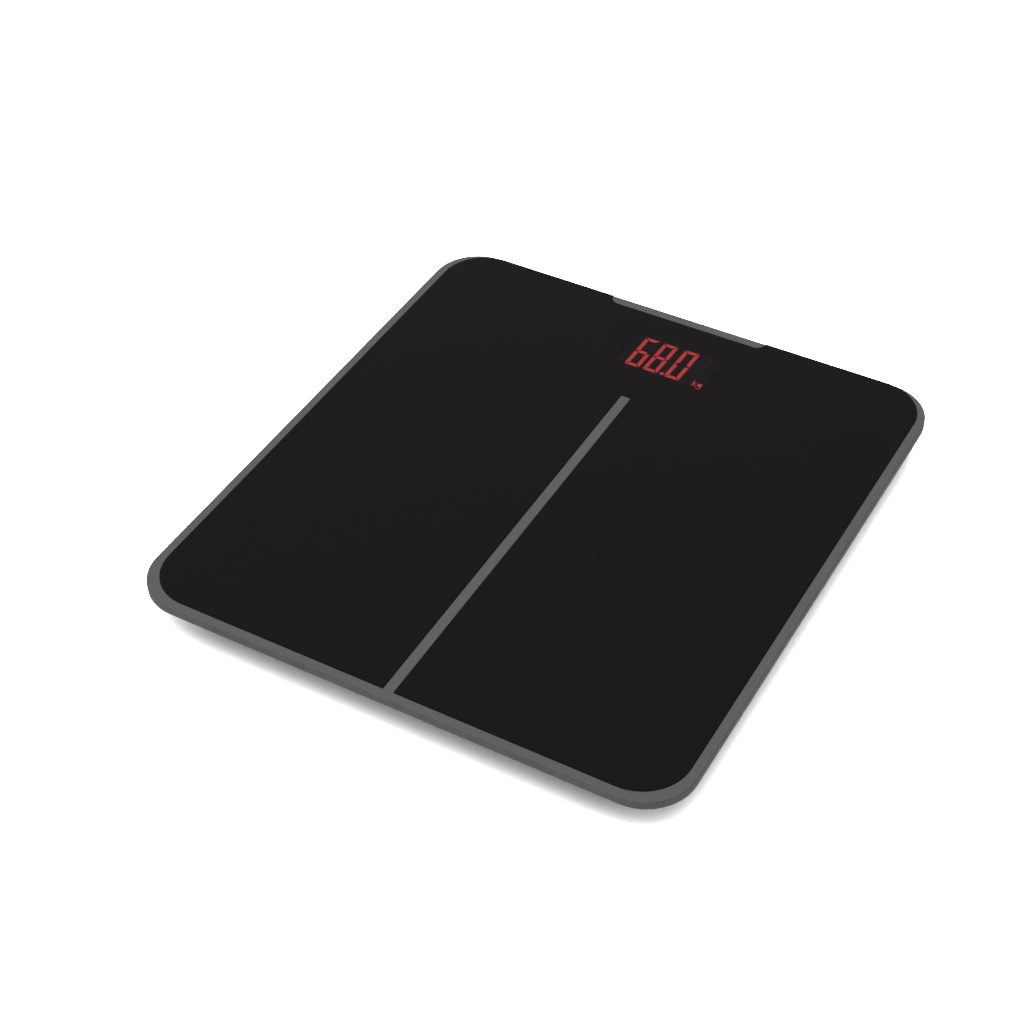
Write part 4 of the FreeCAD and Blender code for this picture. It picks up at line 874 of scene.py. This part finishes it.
def mesh_object(name: str, points: np.ndarray, faces: Sequence,
                smooth_angle: float = 35.0) -> bpy.types.Object:
    """Makes a mesh object at the origin.

    Args:
        name: The object's name.
        points: Vertices, three numbers each.
        faces: Lists of vertex indices.
        smooth_angle: Edges sharper than this many degrees stay sharp.

    Returns:
        The object, linked to the scene.
    """
    mesh = bpy.data.meshes.new(name)
    mesh.from_pydata(points.tolist(), [], [list(map(int, f)) for f in faces])
    mesh.validate()
    mesh.shade_smooth()
    mesh.set_sharp_from_angle(angle=math.radians(smooth_angle))
    obj = bpy.data.objects.new(name, mesh)
    bpy.context.scene.collection.objects.link(obj)
    return obj


def merged_copy(source: bpy.types.Object, name: str) -> bpy.types.Object:
    """Copies a CAD node's mesh as a new object, with its doubled vertices merged and its normals outwards.

    Args:
        source: The node's object.
        name: The copy's name.

    Returns:
        The copy, linked to the scene.
    """
    shape = bmesh.new()
    shape.from_mesh(source.data)
    bmesh.ops.remove_doubles(shape, verts=shape.verts, dist=1e-6)
    bmesh.ops.recalc_face_normals(shape, faces=shape.faces)
    shape.verts.index_update()
    points = np.array([v.co[:] for v in shape.verts])
    faces = [[v.index for v in face.verts] for face in shape.faces]
    shape.free()
    return mesh_object(name, points, faces)


def outward(points: np.ndarray, faces: Sequence) -> list:
    """Turns a closed surface's faces outwards.

    The signed volume is the sum over each face's fan of a . (b x c) / 6; if it is negative, every
    face is turned over.

    Args:
        points: Vertices.
        faces: Faces that all point in or all point out.

    Returns:
        The faces, pointing outwards.
    """
    middle = points.mean(axis=0)
    volume = 0.0
    for size in {len(f) for f in faces}:
        corners = points[np.array([f for f in faces if len(f) == size])] - middle
        for k in range(1, size - 1):
            volume += float(np.einsum("ij,ij->", corners[:, 0], np.cross(corners[:, k], corners[:, k + 1])))
    return [list(f) if volume > 0 else list(f)[::-1] for f in faces]


def turned_surface(profile: np.ndarray, segments: int) -> Surface:
    """Closed solid of revolution about Z: each profile point (r, z) goes once round the axis.

    The profile starts and ends off the axis and is closed by one polygon at each end.

    Args:
        profile: Points (radius, height) from the lower end round to the upper end.
        segments: Steps round the axis.

    Returns:
        Vertices and faces, with the faces pointing outwards.
    """
    angle = np.linspace(0.0, 2 * np.pi, segments, endpoint=False)
    radius, height = profile[:, 0:1], np.broadcast_to(profile[:, 1:2], (len(profile), segments))
    points = np.stack([radius * np.cos(angle), radius * np.sin(angle), height], axis=-1).reshape(-1, 3)
    return points, outward(points, closed_faces(len(profile), segments))


def tube_surface(path: np.ndarray, radius: float, segments: int) -> Surface:
    """Closed round wire along a path: circles in planes square to the path's direction.

    The side direction at each point is the path's direction crossed with one fixed axis, so that the
    circles don't twist along a coil about that axis.

    Args:
        path: Points of the wire's middle.
        radius: Radius of the wire.
        segments: Steps round the wire.

    Returns:
        Vertices and faces, with the faces pointing outwards.
    """
    along = np.gradient(path, axis=0)
    along /= np.linalg.norm(along, axis=1, keepdims=True)
    side = np.cross(along, np.array([1.0, 0.0, 0.0]))
    side /= np.linalg.norm(side, axis=1, keepdims=True)
    up = np.cross(side, along)
    angle = np.linspace(0.0, 2 * np.pi, segments, endpoint=False)
    ring = side[:, None, :] * np.cos(angle)[None, :, None] + up[:, None, :] * np.sin(angle)[None, :, None]
    points = (path[:, None, :] + radius * ring).reshape(-1, 3)
    return points, outward(points, closed_faces(len(path), segments))


def joined(parts: Sequence[Surface]) -> Surface:
    """Several closed surfaces as one set of vertices and faces."""
    points: list = []
    faces: list = []
    count = 0
    for part_points, part_faces in parts:
        points.append(part_points)
        faces += [[k + count for k in f] for f in part_faces]
        count += len(part_points)
    return np.concatenate(points), faces


def mark_along(obj: bpy.types.Object, shares: Sequence[np.ndarray]) -> None:
    """Stores on each vertex how far along its piece it is, which the jacket's finish reads.

    Args:
        obj: A mesh object of joined pieces.
        shares: For each piece, its vertices' places from 0 to 1.
    """
    attribute = obj.data.attributes.new("along", "FLOAT", "POINT")
    attribute.data.foreach_set("value", np.concatenate(shares).astype(np.float32))


def lay_along_x(points: np.ndarray, tip: float, y: float, z: float, side: float) -> np.ndarray:
    """Lays a piece that was turned about Z along X.

    Args:
        points: Vertices with height 0 at the base.
        tip: X of the base.
        y: Y of the axis.
        z: Z of the axis.
        side: 1 if the piece points to +X, -1 if to -X.

    Returns:
        The moved vertices, turned and not mirrored.
    """
    return np.stack([tip + side * points[:, 2], y - side * points[:, 1], z + points[:, 0]], axis=-1)


# ---- Dressing CAD nodes -----------------------------------------------------------------------------
class Wardrobe:
    """The finished materials, and how they are put on."""

    def __init__(self) -> None:
        """Builds the shared effects and every slot's material."""
        effects = Effects()
        self.materials = {slot: finish.build(effects) for slot, finish in finishes().items()}
        self.slot_of = {entry["node"]: entry["material_slot"] for entry in frame["record"]["subparts"]}

    def put_on(self, obj: bpy.types.Object, slot: str) -> None:
        """Gives an object one slot's material.

        Args:
            obj: A mesh object.
            slot: The slot's name.
        """
        if not obj.material_slots:
            obj.data.materials.append(self.materials[slot])
        for entry in obj.material_slots:
            entry.material = self.materials[slot]

    def dress_node(self, name: str) -> None:
        """Dresses one CAD node; its mesh keeps the smooth normals that it came with.

        Args:
            name: The node's name.
        """
        obj = frame["nodes"][name]
        self.put_on(obj, self.slot_of[name])
        log.info("dressed %s in %s", name, self.slot_of[name])

    def finish_piece(self, obj: bpy.types.Object, body: str, nodes: Sequence[str], slot: str) -> None:
        """Dresses a new piece, puts it on its body and lets it stand for CAD nodes.

        Args:
            obj: The piece.
            body: The body that it rides on.
            nodes: The CAD nodes that it replaces, if any.
            slot: The material slot.
        """
        self.put_on(obj, slot)
        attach(obj, body)
        if nodes:
            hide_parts(*nodes)
        log.info("made %s on %s in %s", obj.name, body, slot)


# ---- Sub-assemblies ---------------------------------------------------------------------------------
@dataclass
class FootPads:
    """Rubber pads under the feet, turned with concentric grip ridges."""

    ridge_count: int = 5
    ridge_depth: float = 0.45 * MM
    first_ridge: float = 2.6 * MM
    last_ridge: float = 12.2 * MM
    edge_round: float = 0.5 * MM
    top_chamfer: float = 0.1 * MM
    axis_gap: float = 0.2 * MM
    ridge_steps: int = 140
    segments: int = 96

    def profile(self, radius: float, low: float, high: float) -> np.ndarray:
        """Section of a pad: a flat underside that dips in a cosine groove between grip ridges.

        Args:
            radius: Outer radius.
            low: Height of the underside.
            high: Height of the top.

        Returns:
            Points (radius, height) from the middle of the underside to the middle of the top.
        """
        r = np.linspace(self.axis_gap, self.last_ridge, self.ridge_steps)
        phase = np.clip((r - self.first_ridge) / (self.last_ridge - self.first_ridge), 0.0, 1.0)
        dips = (0.5 - 0.5 * np.cos(2 * np.pi * self.ridge_count * phase)) ** 0.6
        under = np.stack([r, low + self.ridge_depth * dips], axis=-1)
        e, c = self.edge_round, self.top_chamfer
        corner = arc((radius - e, low + e), (e, e), -90.0, 8)
        top = np.array([[radius, high - c], [radius - c, high], [self.axis_gap, high]])
        return np.concatenate([under, corner, top])

    def build(self, wardrobe: Wardrobe) -> None:
        """Makes the four pads.

        Args:
            wardrobe: The materials.
        """
        for corner in CORNERS:
            node = "foot_pad_" + corner
            low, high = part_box(node)
            radius = (high[0] - low[0]) / 2
            points, faces = turned_surface(self.profile(radius, low[2], high[2]), self.segments)
            points = points + np.array([(low[0] + high[0]) / 2, (low[1] + high[1]) / 2, 0.0])
            pad = mesh_object("grip_pad_" + corner, points, faces)
            wardrobe.finish_piece(pad, "foot_" + corner, [node], "foot_rubber")


@dataclass
class Cells:
    """AAA cells with crimped shoulders, a stepped cap and a jacket edge."""

    count: int = 3
    length: float = 44.5 * MM
    nub_radius: float = 1.9 * MM
    nub_length: float = 1.0 * MM
    shoulder: float = 0.7 * MM
    film: float = 0.08 * MM
    crimp_step: float = 0.05 * MM
    crown: float = 1.4 * MM
    well: float = 0.3 * MM
    axis_gap: float = 0.1 * MM
    segments: int = 64

    def profile(self, radius: float, length: float) -> np.ndarray:
        """Section of a cell from its flat base up to the nub.

        Args:
            radius: Outer radius.
            length: Length with the nub.

        Returns:
            Points (radius, height).
        """
        s, step, nub, well = self.shoulder, self.crimp_step, self.nub_radius, self.well
        top = length - self.nub_length
        base = arc((radius - s, s), (s - self.film, s), -90.0, 7)
        crimp = np.array([[radius, s + step], [radius, top - s - step], [radius - self.film, top - s]])
        rim = arc((radius - s, top - s), (s - self.film, s), 0.0, 7)
        cap = np.array([[radius - self.crown, top], [radius - self.crown - 0.1 * MM, top - well],
                        [nub + well, top - well], [nub, top - well / 2],
                        [nub, length - 0.2 * MM], [nub - 0.2 * MM, length], [self.axis_gap, length]])
        start = np.array([[self.axis_gap, 0.0]])
        return np.concatenate([start, base, crimp, rim[1:], cap])

    def build(self, wardrobe: Wardrobe) -> None:
        """Makes the three cells, alternate ends up.

        Args:
            wardrobe: The materials.
        """
        low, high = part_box("aaa_cells")
        radius = (high[2] - low[2]) / 2
        pitch = (high[1] - low[1] - 2 * radius) / (self.count - 1)
        length = min(self.length, high[0] - low[0])
        z = (low[2] + high[2]) / 2
        parts = []
        along = []
        for i in range(self.count):
            side = 1.0 if i % 2 == 0 else -1.0
            base = high[0] - length if side > 0 else low[0] + length
            points, faces = turned_surface(self.profile(radius, length), self.segments)
            along.append(points[:, 2] / length)
            laid = lay_along_x(points, base, low[1] + radius + i * pitch, z, side)
            parts.append((laid, faces))
        cells = mesh_object("battery_cells", *joined(parts))
        mark_along(cells, along)
        wardrobe.finish_piece(cells, "platform", ["aaa_cells"], "cell_jacket")


@dataclass
class ContactSprings:
    """Conical contact springs with closed end coils."""

    turns: float = 4.5
    wire: float = 0.35 * MM
    narrow: float = 0.62
    steps: int = 240
    segments: int = 12

    def coil(self, radius: float, start: float, end: float, y: float, z: float) -> np.ndarray:
        """Middle line of a spring: its radius shrinks evenly, and its pitch eases in and out at the ends.

        Args:
            radius: Radius at the wide end.
            start: X of the wide end.
            end: X of the narrow end.
            y: Y of the axis.
            z: Z of the axis.

        Returns:
            Points along the wire.
        """
        t = np.linspace(0.0, 1.0, self.steps)
        ease = t - np.sin(2 * np.pi * t) / (2 * np.pi) * 0.75
        spread = radius * (1.0 - (1.0 - self.narrow) * t)
        angle = 2 * np.pi * self.turns * t
        ring = (y + spread * np.cos(angle), z + spread * np.sin(angle))
        return np.stack([start + (end - start) * ease, *ring], axis=-1)

    def build(self, wardrobe: Wardrobe) -> None:
        """Makes the three springs.

        Args:
            wardrobe: The materials.
        """
        low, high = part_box("contact_springs")
        cell_low, cell_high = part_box("aaa_cells")
        radius = (high[2] - low[2]) / 2 - self.wire
        z = (low[2] + high[2]) / 2
        rows = np.linspace(low[1] + radius + self.wire, high[1] - radius - self.wire, Cells.count)
        parts = []
        for i, y in enumerate(rows):
            if i % 2 == 0:
                ends = (low[0] + self.wire, cell_high[0] - Cells.length - self.wire)
            else:
                ends = (high[0] - self.wire, cell_low[0] + Cells.length + self.wire)
            parts.append(tube_surface(self.coil(radius, *ends, y, z), self.wire, self.segments))
        springs = mesh_object("coil_contacts", *joined(parts), smooth_angle=60.0)
        wardrobe.finish_piece(springs, "platform", ["contact_springs"], "nickel_spring")


@dataclass
class BoardCapacitors:
    """Two electrolytic cans with a crimp groove and a scored top, and a row of ceramic blocks."""

    can_radius: float = 2.5 * MM
    can_gap: float = 8.0 * MM
    can_count: int = 2
    groove: float = 0.22 * MM
    shoulder: float = 0.35 * MM
    axis_gap: float = 0.15 * MM
    block_size: tuple[float, float, float] = (2.0 * MM, 1.2 * MM, 0.7 * MM)
    block_count: int = 9
    block_pitch: float = 5.0 * MM
    block_segments: int = 24
    end_share: float = 0.2
    segments: int = 48

    def can(self, height: float) -> Surface:
        """One can about Z: its radius dips by groove * exp(-((z - zg) / w)^2) at the crimp near its foot.

        Args:
            height: Height of the can.

        Returns:
            Vertices and faces, with height 0 at the scored top and the foot at the board.
        """
        r, e, gap = self.can_radius, self.shoulder, self.axis_gap
        z = np.linspace(e, height - 0.3 * MM, 40)
        crimp = self.groove * np.exp(-(((z - height + 1.1 * MM) / (0.28 * MM)) ** 2))
        side = np.stack([r - crimp, z], axis=-1)
        shoulder = arc((r - e, e), (e, e), -90.0, 6)[:-1]
        score = np.array([[gap, 0.12 * MM], [r - 0.75 * MM, 0.12 * MM], [r - 0.65 * MM, 0.0]])
        foot = np.array([[r - 0.2 * MM, height], [gap, height]])
        return turned_surface(np.concatenate([score, shoulder, side, foot]), self.segments)

    def block(self, x: float, y: float, top: float) -> tuple[np.ndarray, list, np.ndarray]:
        """One ceramic block: a rounded bar along X whose end caps stand a little proud.

        The section at each step along X is the superellipse |y/b|^6 + |z/c|^6 = 1, scaled by the step's
        size. The steps from the middle to the other end mirror those up to it.

        Args:
            x: X of the middle.
            y: Y of the middle.
            top: Height of its face on the board.

        Returns:
            Vertices, faces, and how far along it each vertex is, from 0 to 1.
        """
        length, width, height = self.block_size
        half_share = np.array([0.0, 0.03, self.end_share, self.end_share + 0.02])
        half_scale = np.array([0.9, 1.0, 1.0, 0.93])
        share = np.concatenate([half_share, 1.0 - half_share[::-1]])
        scale = np.concatenate([half_scale, half_scale[::-1]])
        angle = np.linspace(0.0, 2 * np.pi, self.block_segments, endpoint=False)
        c, s = np.cos(angle), np.sin(angle)
        reach = (np.abs(c) ** 6 + np.abs(s) ** 6) ** (-1 / 6)
        ring = np.stack([reach * c * width / 2, reach * s * height / 2], axis=-1)
        section = scale[:, None, None] * ring[None]
        steps = np.broadcast_to((share * length)[:, None, None], (*section.shape[:2], 1))
        points = np.concatenate([steps, section], axis=-1).reshape(-1, 3)
        points = points + np.array([x - length / 2, y, top - height / 2])
        faces = outward(points, closed_faces(len(share), self.block_segments))
        return points, faces, np.repeat(share, self.block_segments)

    def build(self, wardrobe: Wardrobe) -> None:
        """Makes the cans and the blocks.

        Args:
            wardrobe: The materials.
        """
        low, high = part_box("board_capacitors")
        height = high[2] - low[2]
        parts = []
        along = []
        for i in range(self.can_count):
            points, faces = self.can(height)
            along.append(0.05 + 0.9 * points[:, 2] / height)
            x = high[0] - self.can_radius - i * self.can_gap
            place = np.array([x, low[1] + self.can_radius, low[2]])
            parts.append((points + place, faces))
        for i in range(self.block_count):
            x = low[0] + self.block_size[0] / 2 + i * self.block_pitch
            points, faces, share = self.block(x, high[1] - self.block_size[1] / 2, high[2])
            bare = np.abs(share - 0.5) > 0.49 - self.end_share
            along.append(np.where(bare, 0.0, 0.5))
            parts.append((points, faces))
        cans = mesh_object("sleeved_capacitors", *joined(parts))
        mark_along(cans, along)
        wardrobe.finish_piece(cans, "platform", ["board_capacitors"], "capacitor_sleeve")


@dataclass
class CellLeads:
    """Leads of the load cells: merged copies of the CAD leads, running from the board to each cell."""

    reach: float = 16.0 * MM
    margin: float = 1.0 * MM

    def bend(self, corner: str) -> tuple[tuple[float, float, float], tuple[float, float, float]]:
        """Where a lead starts to follow its cell, and where it follows it fully.

        A front lead arrives along Y and a back lead along X, so the bend lies just outside the cell's
        edge on that axis.

        Args:
            corner: The cell's corner.

        Returns:
            The start and the end of the bend.
        """
        low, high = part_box("load_cell_" + corner)
        middle = [(a + b) / 2 for a, b in zip(low, high)]
        start, end = list(middle), list(middle)
        if corner.startswith("front"):
            end[1] = high[1] + self.margin
            start[1] = end[1] + self.reach
        else:
            side = -1.0 if middle[0] < 0 else 1.0
            edge = high[0] if side < 0 else low[0]
            end[0] = edge - side * self.margin
            start[0] = end[0] - side * self.reach
        return tuple(map(float, start)), tuple(map(float, end))

    def build(self, wardrobe: Wardrobe) -> None:
        """Makes a merged copy of each lead in place of its node; the bend's ends are found but not used.

        Args:
            wardrobe: The materials.
        """
        for corner in CORNERS:
            node = "cell_lead_" + corner
            lead = merged_copy(frame["nodes"][node], "flexing_lead_" + corner)
            wardrobe.put_on(lead, "grey_lead")
            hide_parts(node)
            start, end = self.bend(corner)
            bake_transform(lead)
            log.info("made %s between platform and foot_%s in grey_lead", lead.name, corner)


def bearing(azimuth: float, elevation: float) -> Vector:
    """Unit vector from the object: (sin a cos e, -cos a cos e, sin e).

    Args:
        azimuth: Degrees round the object; 0 is in front of it, 90 at its right.
        elevation: Degrees above the floor.

    Returns:
        The vector.
    """
    a, e = math.radians(azimuth), math.radians(elevation)
    return Vector((math.sin(a) * math.cos(e), -math.cos(a) * math.cos(e), math.sin(e)))


@dataclass
class Studio:
    """Floor, lights, world and camera.

    The world's level goes from the horizon's to the overhead one, less the falloff towards +X and +Y.
    """

    floor_size: float = 6.0
    floor_tone: float = 0.86
    exposure: float = 4.4
    # The next two set the painted contact shadow on the floor: the reach of its ambient occlusion in metres,
    # and the power that deepens it.
    contact: float = 0.02
    painted_shadow_depth: float = 1.7
    horizon: float = 0.45
    overhead: float = 1.25
    falloff: tuple[float, float] = (0.42, 0.05)
    least: float = 0.05
    lens: float = 72.67
    azimuth: float = 30.43
    elevation: float = 42.93
    roll: float = -1.386
    distance: float = 1.0182
    target: tuple[float, float, float] = (-0.00886, -0.02311, 0.022)

    def build_floor(self) -> None:
        """Pale floor, exposed to white where it is seen directly, with a painted contact shadow near the
        object from ambient occlusion, and clear from below and to lamps.
        """
        half = self.floor_size / 2
        points = np.array([[-half, -half, 0.0], [half, -half, 0.0], [half, half, 0.0], [-half, half, 0.0]])
        floor = mesh_object("floor", points, [[0, 1, 2, 3]])
        material, w, shader = start_material("pale_floor_painted_shadow")
        shader.inputs["Base Color"].default_value = rgba((self.floor_tone,) * 3)
        shader.inputs["Roughness"].default_value = 0.9
        shader.inputs["Specular IOR Level"].default_value = 0.0
        # Painted contact shadow: the colour the camera sees is darkened by ambient occlusion near the
        # object, raised to a power, then scaled by the exposure.
        near = w.add("AmbientOcclusion", {"Distance": self.contact}, samples=8).outputs["AO"]
        lit_share_with_painted_shadow = w.times(w.math("POWER", near, self.painted_shadow_depth), self.exposure)
        tone = w.add("CombineXYZ", {"X": lit_share_with_painted_shadow, "Y": lit_share_with_painted_shadow, "Z": lit_share_with_painted_shadow}).outputs["Vector"]
        bright = w.add("BsdfDiffuse", {"Color": tone})
        path = w.add("LightPath")
        direct = path.outputs["Is Camera Ray"]
        shown = w.add("MixShader", {0: direct, 1: shader.outputs[0], 2: bright.outputs[0]})
        clear = w.add("BsdfTransparent")
        back = w.add("NewGeometry").outputs["Backfacing"]
        open_way = w.math("MAXIMUM", back, path.outputs["Is Shadow Ray"])
        both = w.add("MixShader", {0: open_way, 1: shown.outputs[0], 2: clear.outputs[0]})
        output = next(n for n in w.tree.nodes if n.type == "OUTPUT_MATERIAL")
        w.tree.links.new(both.outputs[0], output.inputs["Surface"])
        floor.data.materials.append(material)

    def build_world(self) -> None:
        """Studio surround: brighter overhead, white where it is seen directly, and dark below the floor."""
        world = bpy.data.worlds.new("studio")
        world.use_nodes = True
        bpy.context.scene.world = world
        world.node_tree.nodes.clear()
        w = Wiring(world.node_tree)
        way = w.add("SeparateXYZ", {0: w.add("TexCoord").outputs["Generated"]})
        upright = w.remap(way.outputs["Z"], 0.0, 1.0, self.horizon, self.overhead)
        across, along = self.falloff
        sideways = w.minus(w.times(way.outputs["Y"], -along), w.times(way.outputs["X"], across))
        level = w.math("MAXIMUM", w.plus(upright, sideways), self.least)
        above = w.times(level, w.math("GREATER_THAN", way.outputs["Z"], 0.0))
        seen = w.add("LightPath").outputs["Is Camera Ray"]
        strength = w.plus(w.times(above, w.minus(1.0, seen)), seen)
        background = w.add("Background", {"Color": (1.0, 1.0, 1.0, 1.0), "Strength": strength})
        output = w.add("OutputWorld")
        w.tree.links.new(background.outputs[0], output.inputs["Surface"])

    def add_light(self, name: str, azimuth: float, elevation: float, distance: float, size: float,
                  power: float) -> None:
        """Adds a square soft light that faces the object.

        Args:
            name: The light's name.
            azimuth: Degrees round the object; 0 is in front of it, 90 at its right.
            elevation: Degrees above the floor.
            distance: Distance from the object in metres.
            size: Side of the light in metres.
            power: Power in watts.
        """
        data = bpy.data.lights.new(name, "AREA")
        data.shape = "SQUARE"
        data.size = size
        data.energy = power
        light = bpy.data.objects.new(name, data)
        light.visible_camera = False
        bpy.context.scene.collection.objects.link(light)
        back = bearing(azimuth, elevation)
        light.location = back * distance
        light.rotation_mode = "QUATERNION"
        light.rotation_quaternion = back.to_track_quat("Z", "Y")

    def build_camera(self) -> None:
        """Camera at the wanted bearing, height, distance and roll, aimed at the target."""
        data = bpy.data.cameras.new("camera")
        data.lens = self.lens
        data.sensor_width = 36.0
        data.clip_start = 0.01
        camera = bpy.data.objects.new("camera", data)
        bpy.context.scene.collection.objects.link(camera)
        a, e = math.radians(self.azimuth), math.radians(self.elevation)
        back = bearing(self.azimuth, self.elevation)
        turn = Matrix.Rotation(a, 4, "Z") @ Matrix.Rotation(math.pi / 2 - e, 4, "X")
        turn = turn @ Matrix.Rotation(math.radians(self.roll), 4, "Z")
        camera.matrix_world = Matrix.Translation(Vector(self.target) + back * self.distance) @ turn
        bpy.context.scene.camera = camera

    def build(self) -> None:
        """Builds the whole studio."""
        self.build_floor()
        self.build_world()
        self.add_light("key", azimuth=250.0, elevation=78.0, distance=2.2, size=1.2, power=10.0)
        self.add_light("under", azimuth=210.0, elevation=-78.0, distance=1.6, size=1.2, power=24.0)
        self.build_camera()
        scene = bpy.context.scene
        scene.view_settings.view_transform = "Standard"
        scene.view_settings.look = "None"


def main() -> None:
    """Builds every sub-assembly, dresses the CAD nodes and sets up the studio."""
    logging.basicConfig(level=logging.INFO, format="%(message)s")
    Studio().build()
    wardrobe = Wardrobe()
    for name in frame["nodes"]:
        wardrobe.dress_node(name)
    FootPads().build(wardrobe)
    Cells().build(wardrobe)
    ContactSprings().build(wardrobe)
    BoardCapacitors().build(wardrobe)
    CellLeads().build(wardrobe)


if __name__ == "__main__":
    main()
